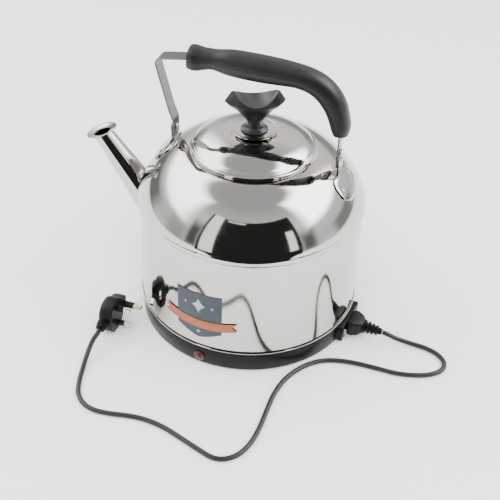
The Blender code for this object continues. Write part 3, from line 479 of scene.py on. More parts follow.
def block_mesh(low: Point3, high: Point3, bevel: float = 0.0, segments: int = 3) -> bmesh.types.BMesh:
    """Make a box with rounded edges.

    Args:
        low: Its lowest corner.
        high: Its highest corner.
        bevel: The edges' radius.
        segments: Facets of each rounded edge.

    Returns:
        The box.
    """
    bm = bmesh.new()
    bmesh.ops.create_cube(bm, size=1.0)
    size = Vector(high) - Vector(low)
    middle = (Vector(high) + Vector(low)) / 2
    bmesh.ops.transform(bm, matrix=Matrix.Translation(middle) @ Matrix.Diagonal((*size, 1.0)), verts=bm.verts)
    if bevel:
        bmesh.ops.bevel(bm, geom=bm.edges[:], offset=bevel, segments=segments, profile=0.5,
                        affect="EDGES", material=-1)
    return bm


def carve(obj: bpy.types.Object, tool: bmesh.types.BMesh, matrix: Matrix | None = None) -> None:
    """Cut a closed mesh in millimetres out of a piece.

    Args:
        obj: The piece.
        tool: The closed cutter; it is freed.
        matrix: Where the cutter goes, in millimetres.
    """
    if matrix is not None:
        bmesh.ops.transform(tool, matrix=matrix, verts=tool.verts)
    bmesh.ops.scale(tool, vec=(MM, MM, MM), verts=tool.verts)
    bmesh.ops.recalc_face_normals(tool, faces=tool.faces)
    mesh = bpy.data.meshes.new("cutter")
    tool.to_mesh(mesh)
    tool.free()
    cutter = bpy.data.objects.new("cutter", mesh)
    bpy.context.scene.collection.objects.link(cutter)
    step = obj.modifiers.new("Cut", "BOOLEAN")
    step.solver = "EXACT"
    step.object = cutter
    graph = bpy.context.evaluated_depsgraph_get()
    cut = bpy.data.meshes.new_from_object(obj.evaluated_get(graph))
    obj.modifiers.remove(step)
    old = obj.data
    obj.data = cut
    cut.name = old.name
    bpy.data.meshes.remove(old)
    bpy.data.objects.remove(cutter, do_unlink=True)
    bpy.data.meshes.remove(mesh)
    obj.data.set_sharp_from_angle(angle=math.radians(32))


def turned(azimuth: float, offset: Point3 = (0.0, 0.0, 0.0)) -> Matrix:
    """Return the frame that is turned about Z, then moved outwards."""
    return Matrix.Rotation(math.radians(azimuth), 4, "Z") @ Matrix.Translation(offset)


def along(point: Sequence[float], direction: Sequence[float]) -> Matrix:
    """Return a frame at a point whose Z axis follows a direction."""
    return Matrix.Translation(point) @ Vector(direction).to_track_quat("Z", "Y").to_matrix().to_4x4()


def smooth_route(points: Sequence[Sequence[float]], spacing: float) -> list[Vector]:
    """Return evenly spread points on a smooth curve through the given ones.

    Args:
        points: The points to pass through.
        spacing: The wished distance between the new points.

    Returns:
        The new points.
    """
    pts = [Vector(p) for p in points]
    pts = [pts[0] * 2 - pts[1]] + pts + [pts[-1] * 2 - pts[-2]]
    fine = []
    for k in range(1, len(pts) - 2):
        p0, p1, p2, p3 = pts[k - 1:k + 3]
        for i in range(12):
            t = i / 12
            fine.append(0.5 * ((2 * p1) + (p2 - p0) * t + (2 * p0 - 5 * p1 + 4 * p2 - p3) * t ** 2
                               + (3 * p1 - 3 * p2 + p3 - p0) * t ** 3))
    fine.append(pts[-2])
    length = sum((b - a).length for a, b in zip(fine, fine[1:]))
    count = max(2, round(length / spacing))
    out, walked, k = [fine[0]], 0.0, 0
    for i in range(1, count):
        goal = length * i / count
        while walked + (fine[k + 1] - fine[k]).length < goal:
            walked += (fine[k + 1] - fine[k]).length
            k += 1
        part = (goal - walked) / (fine[k + 1] - fine[k]).length
        out.append(fine[k].lerp(fine[k + 1], part))
    return out + [fine[-1]]


# --------------------------------------------------------------------------
# vessel
# --------------------------------------------------------------------------


@dataclass
class Vessel:
    """The polished body: wall, shoulder and mouth."""

    finishes: Finishes
    maker: Maker
    radius: float = 135.0
    wall_radius: float = 134.0
    sheet: float = 1.0
    wall_foot: float = 32.7
    bead_z: float = 165.0
    bead_height: float = 7.6
    rise: float = 65.9
    mouth: float = 64.3
    collar_top: float = 236.2
    steps: int = 192

    def shoulder_point(self, s: float) -> tuple[Vector, Vector]:
        """Return a point of the shoulder's outer curve and its outward normal.

        Args:
            s: Place on the curve, 0 at the bead and 1 at the inner end.

        Returns:
            The point and the normal, each as radius and height.
        """
        a = Vector((self.radius, self.bead_z))
        b = Vector((self.radius, self.bead_z + 0.197 * self.rise))
        c = Vector((self.radius * 0.8205, self.bead_z + 0.932 * self.rise))
        d = Vector((self.radius * 0.45, self.bead_z + self.rise))
        q = 1 - s
        point = a * q ** 3 + b * 3 * q * q * s + c * 3 * q * s * s + d * s ** 3
        slope = (b - a) * 3 * q * q + (c - b) * 6 * q * s + (d - c) * 3 * s * s
        return point, Vector((slope.y, -slope.x)).normalized()

    def place_at(self, radius: float) -> float:
        """Return the curve place where the shoulder has a radius."""
        low, high = 0.0, 1.0
        for _ in range(40):
            mid = (low + high) / 2
            low, high = (mid, high) if self.shoulder_point(mid)[0].x > radius else (low, mid)
        return low

    def shoulder_line(self, offset: float, stop: float, count: int = 48) -> list[Point2]:
        """Return the shoulder's outline from the bead to a radius, moved outwards."""
        end = self.place_at(stop)
        out = []
        for i in range(count):
            point, normal = self.shoulder_point(0.13 + (end - 0.13) * i / (count - 1))
            point = point + normal * offset
            out.append((point.x, point.y))
        return out

    def bead_line(self, offset: float) -> list[Point2]:
        """Return the bead's outline, moved outwards."""
        low, high = self.bead_z - self.bead_height / 2, self.bead_z + self.bead_height / 2
        r = self.radius + offset
        return [(r - 0.9, low), (r - 0.35, low + 0.15), (r, low + 0.8), (r + 0.25, low + 2.0),
                (r + 0.3, self.bead_z), (r + 0.15, high - 2.0), (r - 0.1, high - 1.1), (r - 0.5, high - 0.5),
                (r - 0.62, high)]

    def body_block(self) -> bmesh.types.BMesh:
        """Return a closed solid of the body's outside, a gap larger all round."""
        low = self.bead_z - self.bead_height / 2
        profile = [(0, -20.0), (self.wall_radius + GAP, -20.0), (self.wall_radius + GAP, low - GAP)]
        profile += self.bead_line(GAP) + self.shoulder_line(GAP, self.mouth)
        profile += [(0, profile[-1][1])]
        return profile_mesh(profile, 144)

    def build(self) -> bpy.types.Object:
        """Build wall, shoulder and mouth.

        Returns:
            The wall, for the spout to cut its hole in.
        """
        top = self.bead_z - self.bead_height / 2 - GAP
        r, t = self.wall_radius, self.sheet
        neck = self.radius - 0.9 - t - GAP
        bend = 8.5
        draw = [(r - 0.62 * (k / 8) ** 1.6, top - 0.5 - bend * (1 - k / 8)) for k in range(9)]
        wall = self.maker.piece(profile_mesh([(r, self.wall_foot)] + draw + [
            (r - 0.9, top), (neck, top), (neck, top + 3.6), (neck - t, top + 3.6), (neck - t, top),
            (r - 0.62 - t, top - 2.0), (r - t, top - bend), (r - t, self.wall_foot),
        ], self.steps), "body_wall", self.finishes.body, "polished_steel", ["wall_shell"])
        outer = self.bead_line(0.0) + self.shoulder_line(0.0, self.mouth)
        inner = [(x - t, z) for x, z in self.bead_line(0.0)[::2]] + self.shoulder_line(-t, self.mouth, 24)
        self.maker.piece(profile_mesh(outer + inner[::-1], self.steps), "body_shoulder", self.finishes.body,
                         "polished_steel", ["dome_shell"])
        edge = outer[-1][1]
        r, top = self.mouth - GAP, self.collar_top
        roll = [(r + 0.6 + 1.3 * math.cos(a), top - 1.3 + 1.3 * math.sin(a))
                for a in (math.radians(-90 + 30 * k) for k in range(10))]
        self.maker.piece(profile_mesh([(r, edge - 5.0), (r, top - 2.6)] + roll + [(r - 1.2, edge - 5.0)],
                                      128), "mouth_rim", self.finishes.lid, "polished_steel", ["mouth_collar"])
        return wall


@dataclass
class Spout:
    """The straight conical spout with its flared lip."""

    finishes: Finishes
    maker: Maker
    vessel: Vessel
    lip_x: float = -189.6
    lip_z: float = 210.4
    pitch: float = 54.5
    tip_radius: float = 11.4
    taper: float = 0.088
    sheet: float = 1.0
    lip_radius: float = 18.6
    tilt: float = 20.0

    def build(self, wall: bpy.types.Object) -> None:
        """Build the spout and open the wall behind it.

        Args:
            wall: The body's wall.
        """
        lip = Vector((self.lip_x, 0.0, self.lip_z))
        heading = Vector((math.cos(math.radians(self.pitch)), 0.0, -math.sin(math.radians(self.pitch))))
        place = along(lip, heading)
        start, run = -14.0, 150.0

        def radius(distance: float) -> float:
            """Return the outer radius at a distance from the lip."""
            return self.tip_radius + self.taper * distance

        count = 10
        outer = [(radius(start + (run - start) * i / count), start + (run - start) * i / count)
                 for i in range(count + 1)]
        inner = [(r - self.sheet, z) for r, z in outer[::-1]]
        cone = self.maker.piece(profile_mesh(outer + inner, 72), "spout_cone", self.finishes.cone,
                                "polished_steel", ["spout_tube"], place)
        carve(cone, self.vessel.body_block())
        lip_place = Matrix.Translation(lip) @ Matrix.Rotation(-math.radians(self.tilt), 4, "Y")
        carve(cone, block_mesh((-40, -40, 0), (40, 40, 40)), lip_place)
        bore = [(0, 45.0), (radius(45) - self.sheet, 45.0), (radius(150) - self.sheet, 150.0), (0, 150.0)]
        carve(wall, profile_mesh(bore, 72), place)
        normal = Vector((-math.sin(math.radians(self.tilt)), 0.0, math.cos(math.radians(self.tilt))))
        b = (self.tip_radius - self.sheet) / normal.dot(-heading) + 0.1
        r = self.lip_radius
        profile = [(b, GAP), (b + 1.6, GAP + 0.05), (b + 3.0, GAP + 0.3), (b + 4.6, GAP + 0.8),
                   (r - 0.4, GAP + 1.65), (r + 0.2, GAP + 1.9), (r + 0.3, GAP + 2.2), (r + 0.15, GAP + 2.55),
                   (r - 0.3, GAP + 2.65), (b + 4.2, GAP + 1.75), (b + 2.4, GAP + 1.25), (b + 0.6, GAP + 1.1),
                   (b, GAP + 0.9)]
        self.maker.piece(profile_mesh(profile, 96), "spout_flange", self.finishes.cone, "polished_steel",
                         ["spout_lip"], lip_place)


# --------------------------------------------------------------------------
# base
# --------------------------------------------------------------------------


@dataclass
class Base:
    """Black skirt with trim ring, seal and lamp."""

    finishes: Finishes
    maker: Maker
    top_radius: float = 134.8
    foot_radius: float = 133.5
    top: float = 28.5
    foot: float = 2.6
    wall: float = 2.6
    ledge_radius: float = 112.0
    cover: float = 2.0
    trim: float = 2.2
    seal: float = 1.1
    lamp_azimuth: float = -98.5
    lamp_z: float = 13.5
    lamp_radius: float = 6.9

    def build(self) -> bpy.types.Object:
        """Build the rings, the skirt and the lamp.

        Returns:
            The skirt, for the inlet to cut its opening in.
        """
        make, f = self.maker, self.finishes
        r, z = self.top_radius, self.top + GAP
        bulge = [(r + 0.25 + 0.55 * math.sin(math.pi * k / 8), z + self.trim * k / 8) for k in range(9)]
        make.piece(profile_mesh([(r - 4.0, z)] + bulge + [(r - 4.0, z + self.trim)], 192), "trim_band",
                   f.body, "polished_steel", ["trim_ring"])
        z = self.top + 2 * GAP + self.trim
        make.piece(profile_mesh([(r - 4.3, z), (r - 0.8, z), (r - 0.5, z + 0.3), (r - 0.5, z + self.seal - 0.3),
                                 (r - 0.8, z + self.seal), (r - 4.3, z + self.seal)], 192), "seal_band",
                   f.seal, "foot_rubber", ["seal_ring"])
        ledge = self.foot + self.cover + GAP
        ti, fi, fr, top = self.top_radius - self.wall, self.foot_radius - self.wall, self.foot_radius, self.top
        skirt = make.piece(profile_mesh([
            (fr - 0.9, self.foot), (fr - 0.3, self.foot + 0.2), (fr, self.foot + 0.9),
            (fr + (r - fr) * 0.5, self.foot + (top - self.foot) * 0.5), (r, top - 1.0), (r - 0.2, top - 0.4),
            (r - 0.7, top - 0.05), (r - 1.2, top), (r - 12, top), (r - 12, top - 2.2), (ti, top - 2.2),
            (fi, ledge + 3.2), (self.ledge_radius, ledge + 3.2), (self.ledge_radius, ledge), (fi, ledge),
            (fi, self.foot),
        ], 192), "base_shell", f.base, "base_black", ["base_skirt"])
        share = (self.lamp_z - self.foot) / (top - self.foot)
        face = fr + (r - fr) * share
        place = turned(self.lamp_azimuth, (face, 0, self.lamp_z)) @ Matrix.Rotation(math.radians(90), 4, "Y")
        n = self.lamp_radius * 0.72
        rim = self.lamp_radius
        make.piece(profile_mesh([
            (0, -6.0), (n, -6.0), (n, 0.45), (rim - 0.3, 0.45), (rim, 0.7), (rim, 1.2), (rim - 0.3, 1.6),
            (rim - 1.0, 2.0), (n - 0.1, 2.1), (n - 0.3, 2.3), (n - 0.6, 2.9), (n * 0.68, 3.5), (n * 0.4, 3.95),
            (0, 4.1),
        ], 48), "lamp_cap", f.lens, "lamp_red", ["lamp_lens"], place)
        carve(skirt, profile_mesh([(0, -12), (n + 0.25, -12), (n + 0.25, 8), (0, 8)], 48), place)
        return skirt


@dataclass
class Inlet:
    """Inlet housing on the skirt, with two screws."""

    finishes: Finishes
    maker: Maker
    azimuth: float = -8.0
    face: float = 139.5
    width: float = 56.0
    height: float = 21.7
    depth: float = 21.0
    z: float = 15.75
    socket: Point3 = (25.0, 17.0, 16.0)
    screw_pitch: float = 40.0

    def build(self, skirt: bpy.types.Object) -> None:
        """Build the housing and open the skirt round it.

        Args:
            skirt: The base's skirt.
        """
        place = turned(self.azimuth, (0, 0, self.z))
        back, w, h = self.face - self.depth, self.width / 2, self.height / 2
        housing = self.maker.piece(block_mesh((back, -w, -h), (self.face, w, h), 1.5, 4), "inlet_block",
                                   self.finishes.base, "base_black", ["inlet_housing"], place)
        sw, sh, sd = self.socket
        carve(housing, block_mesh((self.face - sd, -sw / 2, -sh / 2), (self.face + 5, sw / 2, sh / 2), 1.0, 2),
              place)
        carve(skirt, block_mesh((108, -w - GAP, -h - GAP), (self.face + 6, w + GAP, h + GAP)), place)
        for k, side in enumerate((-1, 1)):
            spot = place @ Matrix.Translation((self.face, side * self.screw_pitch / 2, 0)) \
                @ Matrix.Rotation(math.radians(90), 4, "Y")
            carve(housing, profile_mesh([(0, -9.5), (1.65, -9.5), (1.65, 4), (0, 4)], 24), spot)
            screw = self.maker.piece(profile_mesh([
                (0, -9.0), (1.5, -9.0), (1.5, GAP), (3.2, GAP), (3.4, 0.5), (3.2, 1.2), (2.6, 1.7), (1.6, 2.0),
                (0, 2.1)], 32), f"inlet_fixing_{k + 1}", self.finishes.screw, "plain_steel",
                [f"inlet_screw_{k + 1}"], spot)
            for turn in (0, 90):
                carve(screw, block_mesh((-2.3, -0.35, 1.0), (2.3, 0.35, 3.0)),
                      spot @ Matrix.Rotation(math.radians(turn + 20 * k), 4, "Z"))


# --------------------------------------------------------------------------
# badge
# --------------------------------------------------------------------------


@dataclass
class Badge:
    """A shield with four plain marks and a ribbon across it, printed on film."""

    finishes: Finishes
    maker: Maker
    azimuth: float = -98.9
    wall_radius: float = 134.0
    width: float = 57.0
    top: float = 111.0
    side: float = 55.0
    tip: float = 44.0
    ribbon_width: float = 94.0
    ribbon_height: float = 12.0
    ribbon_z: float = 65.0
    marks: tuple[tuple[str, float, float, float, float], ...] = (
        ("badge_lozenge_upper", 0.0, 92.0, 9.0, 11.0), ("badge_lozenge_lower", 0.0, 52.6, 3.2, 3.2),
        ("badge_dot_left", -17.0, 92.0, 2.0, 2.0), ("badge_dot_right", 17.0, 92.0, 2.0, 2.0),
    )

    def wrap(self, bm: bmesh.types.BMesh, depth: Callable[[Vector], float]) -> None:
        """Bend a flat mesh round the wall.

        Args:
            bm: The mesh; X runs round the wall and Z up.
            depth: Gives a point's distance from the axis.
        """
        for vert in bm.verts:
            angle = math.radians(self.azimuth) + vert.co.x / self.wall_radius
            r = depth(vert.co)
            vert.co = (r * math.cos(angle), r * math.sin(angle), vert.co.z)

    def plate(self, outline: Sequence[Point2], rings: Sequence[float], thickness: float,
              radius: float) -> bmesh.types.BMesh:
        """Make a thin curved plate from a flat outline.

        Args:
            outline: Its corners, as run round the wall and height.
            rings: Insets from the edge; each ring of faces gets its own material number.
            thickness: The plate's thickness.
            radius: The distance of its back from the axis.

        Returns:
            The plate.
        """
        bm = bmesh.new()
        core = bm.faces.new([bm.verts.new((x, 0.0, z)) for x, z in outline])
        for number, inset in enumerate(rings):
            ring = bmesh.ops.inset_region(bm, faces=[core], thickness=inset, use_even_offset=True)["faces"]
            for face in ring:
                face.material_index = number
            core.material_index = number + 1 if number % 2 == 0 else 0
        limit = max(abs(x) for x, _ in outline)
        cut = -limit + 3.0
        while cut < limit:
            geom = bm.verts[:] + bm.edges[:] + bm.faces[:]
            bmesh.ops.bisect_plane(bm, geom=geom, plane_co=(cut, 0, 0), plane_no=(1, 0, 0))
            cut += 3.0
        bmesh.ops.solidify(bm, geom=bm.faces[:], thickness=thickness)
        low = min(v.co.y for v in bm.verts)
        self.wrap(bm, lambda p: radius + p.y - low)
        return bm

    def build(self) -> None:
        """Build shield and ribbon."""
        f, half = self.finishes, self.width / 2
        top = [(half * t, self.top - 1.6 * (1 - t * t) + 1.2 * math.exp(-(t / 0.2) ** 2))
               for t in (1 - k / 10 for k in range(21))]
        low = [(half * t, self.tip + (self.side - self.tip) * abs(t) ** 1.3)
               for t in (-1 + k / 10 for k in range(21))]
        bm = self.plate(low + top, (0.6, 1.5), 0.4, self.wall_radius + GAP)
        self.maker.piece(bm, "badge_plate", [f.shield, f.border], "badge_dark", ["badge_shield"], None, 50)
        for name, middle_x, middle_z, half_w, half_h in self.marks:
            corners = [(middle_x + half_w * math.cos(a) ** 3, middle_z + half_h * math.sin(a) ** 3)
                       for a in (k * math.pi / 12 for k in range(24))]
            mark = self.plate(corners, (), 0.12, self.wall_radius + GAP + 0.4)
            self.maker.piece(mark, name, f.border, "badge_dark", (), None, 50)

        def middle(t: float) -> float:
            """Return the ribbon's middle height."""
            return self.ribbon_z + 5.0 * t * t - 0.5 * t

        w, h = self.ribbon_width / 2, self.ribbon_height / 2
        ts = [-1 + k / 12 for k in range(25)]
        lower = [(w * t, middle(t) - h) for t in ts]
        upper = [(w * t, middle(t) + h) for t in ts[::-1]]
        notch_right, notch_left = (w - 6.0, middle(1.0)), (-w + 6.0, middle(-1.0))
        outline = lower + [notch_right] + upper + [notch_left]
        bm = self.plate(outline, (0.9, 0.7), 0.4, self.wall_radius + 2 * GAP + 0.4)
        self.maker.piece(bm, "badge_band", [f.ribbon, f.ribbon_end], "badge_orange", ["badge_ribbon"], None, 50)


# --------------------------------------------------------------------------
# handle
# --------------------------------------------------------------------------


@dataclass
class Ears:
    """The two ears that carry the handle, with their rivets."""

    finishes: Finishes
    maker: Maker
    vessel: Vessel
    pivot_z: float = 237.5
    front_x: float = -95.0
    rear_x: float = 99.5
    strap: float = 2.0
    sheet: float = 1.6
    width: float = 52.0
    run: float = 23.0
    lug: float = 20.0
    rivet: float = 2.5
    head: float = 4.6

    def foot_mesh(self, side: int, middle: float) -> bmesh.types.BMesh:
        """Make the foot plate, pressed to the shoulder, with two weld dots.

        Args:
            side: 1 at the rear, -1 at the spout.
            middle: The distance of its middle from the axis.

        Returns:
            The plate.
        """
        bm = bmesh.new()
        bmesh.ops.create_grid(bm, x_segments=44, y_segments=18, size=1.0)
        centre = 0.0 if side > 0 else math.pi
        bmesh.ops.solidify(bm, geom=bm.faces[:], thickness=0.5)
        low = min(v.co.z for v in bm.verts)
        for vert in bm.verts:
            u = vert.co.x * 0.985
            reach = max(0.0, 1 - abs(u) ** 3) ** (1 / 3)
            edge = max(abs(vert.co.y), abs(vert.co.x) ** 2)
            upper = vert.co.z > low + 0.25
            angle = centre + side * u * self.width / 2 / middle
            radius = middle + vert.co.y * reach * self.run / 2
            point, normal = self.vessel.shoulder_point(self.vessel.place_at(radius))
            height = GAP + 0.25
            if upper:
                dots = sum(math.exp(-(((u * self.width / 2 - s * 18.7) ** 2
                                       + (vert.co.y * self.run / 2) ** 2) / 6.0)) for s in (-1, 1))
                height += self.sheet * (1.0 - 0.45 * edge ** 8) - 0.7 * dots
            r = radius + normal.x * height
            vert.co = (r * math.cos(angle), r * math.sin(angle), point.y + normal.y * height)
        return bm

    def build(self) -> None:
        """Build both ears and rivets."""
        f = self.finishes
        for label, side, pivot in (("front", -1, self.front_x), ("rear", 1, self.rear_x)):
            face = abs(pivot) + self.strap / 2 + GAP
            middle = face + self.sheet / 2 + self.run / 2 - 2.0
            name = f"ear_{label}"
            self.maker.piece(self.foot_mesh(side, middle), f"{name}_foot", f.body, "polished_steel", [name],
                             None, 50)
            half = self.lug / 2
            root = self.vessel.shoulder_point(self.vessel.place_at(face + self.sheet))[0].y - 1.0
            outline = [(-half - 3.0, root), (half + 3.0, root), (half + 0.8, root + 4.0), (half, root + 9.0)]
            outline += [(half * math.cos(a), self.pivot_z + half * math.sin(a))
                        for a in (math.pi * k / 16 for k in range(17))]
            outline += [(-half, root + 9.0), (-half - 0.8, root + 4.0)]
            x0, x1 = side * face, side * (face + self.sheet + 0.4)
            bm = swept_mesh([[(x, y, z) for y, z in outline] for x in (x0, x1)])
            bmesh.ops.bevel(bm, geom=[e for e in bm.edges if abs(e.verts[0].co.x - e.verts[1].co.x) < 0.1],
                            offset=0.35, segments=2, profile=0.5, affect="EDGES", material=-1)
            lug = self.maker.piece(bm, f"{name}_lug", f.body, "polished_steel")
            inner = abs(pivot) - self.strap / 2 - GAP
            outer = abs(pivot) + self.strap / 2 + 2 * GAP + self.sheet + 0.4
            place = Matrix.Translation((0, 0, self.pivot_z)) @ Matrix.Rotation(math.radians(90 * side), 4, "Y")
            carve(lug, profile_mesh([(0, inner - 6), (self.rivet + 0.1, inner - 6),
                                     (self.rivet + 0.1, outer + 6), (0, outer + 6)], 32), place)
            h = self.head
            cap = [(h * math.cos(a), 2.1 * math.sin(a)) for a in (math.pi / 2 * k / 6 for k in range(7))]
            profile = [(r if r > 1e-3 else 0.0, inner - z) for r, z in cap[::-1]] \
                + [(self.rivet, inner), (self.rivet, outer)] \
                + [(r if r > 1e-3 else 0.0, outer + z) for r, z in cap]
            self.maker.piece(profile_mesh(profile, 40), f"rivet_{label}_pin", f.rivet, "plain_steel",
                             [f"rivet_{label}"], place)


@dataclass
class Handle:
    """The folding bail: a steel strap with a two-part grip."""

    finishes: Finishes
    maker: Maker
    pivot_z: float = 237.5
    front_x: float = -95.0
    rear_x: float = 99.5
    width: float = 18.0
    thickness: float = 2.0
    bend: Point2 = (-116.5, 325.0)
    rivet: float = 2.5
    stations: tuple[tuple[float, float, float, float], ...] = (
        (-77.0, 331.0, 12.6, 12.4), (-75.0, 331.0, 13.8, 13.6), (-69.0, 330.4, 13.8, 13.8),
        (-62.0, 330.9, 12.2, 12.2), (-54.0, 331.9, 11.6, 10.9), (-46.0, 332.2, 11.6, 10.9),
        (-32.0, 331.9, 13.4, 13.6), (-14.0, 331.4, 14.2, 14.4), (7.0, 330.9, 14.4, 14.4),
        (27.0, 330.6, 14.4, 13.4), (46.0, 329.8, 14.2, 12.2), (60.5, 327.0, 13.9, 12.0),
        (72.5, 321.6, 13.6, 12.4), (83.0, 312.4, 13.3, 12.8), (91.0, 300.6, 13.0, 12.6),
        (96.0, 287.6, 12.6, 11.8), (98.4, 278.5, 12.5, 11.2), (99.2, 272.6, 12.2, 10.4),
        (99.5, 269.0, 10.8, 8.2),
    )

    def strap_line(self) -> list[Vector]:
        """Return the strap's middle line, as X and Z."""
        foot = self.pivot_z - self.width / 2
        rise = [(self.front_x, foot), (self.front_x, self.pivot_z + 11.2),
                (self.front_x - 1.5, self.pivot_z + 15.5), (self.front_x - 4.8, self.pivot_z + 24.0)]
        corner = Vector(self.bend)
        grip = [Vector((x, z)) for x, z, _, _ in self.stations]
        down = (Vector(rise[-1]) - corner).normalized()
        across = (grip[0] - corner).normalized()
        a, b = corner + down * 10, corner + across * 10
        bend = [a * (1 - s) ** 2 + corner * 2 * (1 - s) * s + b * s * s for s in (k / 8 for k in range(9))]
        tail = [Vector((self.rear_x, self.pivot_z + 14.0)), Vector((self.rear_x, foot))]
        return [Vector(p) for p in rise] + bend + grip + tail

    @staticmethod
    def framed(line: Sequence[Vector]) -> list[tuple[Vector, Vector]]:
        """Return each point of a line with its upward normal."""
        out = []
        for i, point in enumerate(line):
            run = (line[min(i + 1, len(line) - 1)] - line[max(i - 1, 0)]).normalized()
            out.append((point, Vector((-run.y, run.x))))
        return out

    @staticmethod
    def section(point: Vector, normal: Vector, shape: Sequence[Point2]) -> list[Point3]:
        """Place a (width, height) shape across the handle's line."""
        return [(point.x + normal.x * h, w, point.y + normal.y * h) for w, h in shape]

    def grip_shape(self, half_w: float, half_h: float, sign: int) -> list[Point2]:
        """Return one half of the grip's section: flat top, sloping shoulders and flat sides.

        Args:
            half_w: Half the grip's width.
            half_h: Half its height.
            sign: 1 for the upper half, -1 for the lower one.

        Returns:
            The outer line, then the strap's recess.
        """
        arc = []
        for k in range(25):
            a = math.pi * k / 24
            c, s = math.cos(a), math.sin(a)
            arc.append((half_w * math.copysign(abs(c) ** 0.78, c),
                        sign * (0.15 + (half_h - 0.15) * abs(s) ** 0.78)))
        slot_w, slot_h = self.width / 2 + GAP, self.thickness / 2 + GAP
        return arc + [(-slot_w, sign * 0.15), (-slot_w, sign * slot_h), (slot_w, sign * slot_h),
                      (slot_w, sign * 0.15)]

    def build(self) -> None:
        """Build strap, grip halves and grip screws."""
        f = self.finishes
        w, t = self.width / 2, self.thickness / 2
        shape = [(-w + 0.5, -t), (w - 0.5, -t), (w - 0.12, -t + 0.25), (w, -t + 0.7), (w, t - 0.7),
                 (w - 0.12, t - 0.25), (w - 0.5, t), (-w + 0.5, t), (-w + 0.12, t - 0.25), (-w, t - 0.7),
                 (-w, -t + 0.7), (-w + 0.12, -t + 0.25)]
        loops = [self.section(p, n, shape) for p, n in self.framed(self.strap_line())]
        strap = self.maker.piece(swept_mesh(loops), "bail_strap", f.strap, "polished_steel",
                                 ["handle_strap"], None, 40)
        for pivot in (self.front_x, self.rear_x):
            place = Matrix.Translation((pivot, 0, self.pivot_z)) @ Matrix.Rotation(math.radians(90), 4, "Y")
            carve(strap, profile_mesh([(0, -6), (self.rivet + 0.1, -6), (self.rivet + 0.1, 6), (0, 6)], 32),
                  place)

        centres = smooth_route([(x, a, z) for x, z, a, _ in self.stations], 4.0)
        heights = smooth_route([(x, b, z) for x, z, _, b in self.stations], 4.0)
        line = [Vector((p.x, p.z)) for p in centres]
        frames = self.framed(line)
        halves = {}
        for label, sign in (("upper", 1), ("lower", -1)):
            loops = []
            for (point, normal), wide, tall in zip(frames, centres, self.resampled(centres, heights)):
                loops.append(self.section(point, normal, self.grip_shape(wide.y, tall, sign)))
            halves[label] = self.maker.piece(swept_mesh(loops), f"grip_{label}_half", f.grip, "grip_black",
                                             [f"grip_{label}"], None, 40)
        stations = self.framed([Vector((x, z)) for x, z, _, _ in self.stations])
        for k, index in enumerate((4, 12)):
            point, normal = stations[index]
            h = self.stations[index][3]
            place = along((point.x, 0, point.y), (normal.x, 0, normal.y))
            hole = [(0, -h - 6), (3.2, -h - 6), (3.2, -h + 2.7), (1.8, -h + 3.5), (1.8, 5.4), (0, 5.4)]
            for target in (halves["lower"], halves["upper"], strap):
                carve(target, profile_mesh(hole, 28), place)
            screw = self.maker.piece(profile_mesh([
                (0, -h + 0.5), (1.6, -h + 0.6), (2.6, -h + 0.95), (2.9, -h + 1.4), (2.9, -h + 2.4),
                (1.5, -h + 3.2), (1.5, 5.0), (0, 5.0)], 32), f"grip_fixing_{k + 1}", f.screw, "plain_steel",
                [f"grip_screw_{k + 1}"], place)
            for turn in (10, 100):
                carve(screw, block_mesh((-2.0, -0.3, -h - 1), (2.0, 0.3, -h + 1.5)),
                      place @ Matrix.Rotation(math.radians(turn + 30 * k), 4, "Z"))

    @staticmethod
    def resampled(centres: Sequence[Vector], heights: Sequence[Vector]) -> list[float]:
        """Return the grip's half height at each point of its line.

        Args:
            centres: The line's points.
            heights: Points whose Y holds the half height.

        Returns:
            One value for each point of the line.
        """
        out = []
        for point in centres:
            near = min(heights, key=lambda h: (h.x - point.x) ** 2 + (h.z - point.z) ** 2)
            out.append(near.y)
        return [(out[max(i - 1, 0)] + out[i] * 2 + out[min(i + 1, len(out) - 1)]) / 4 for i in range(len(out))]


# --------------------------------------------------------------------------
# lid
# --------------------------------------------------------------------------


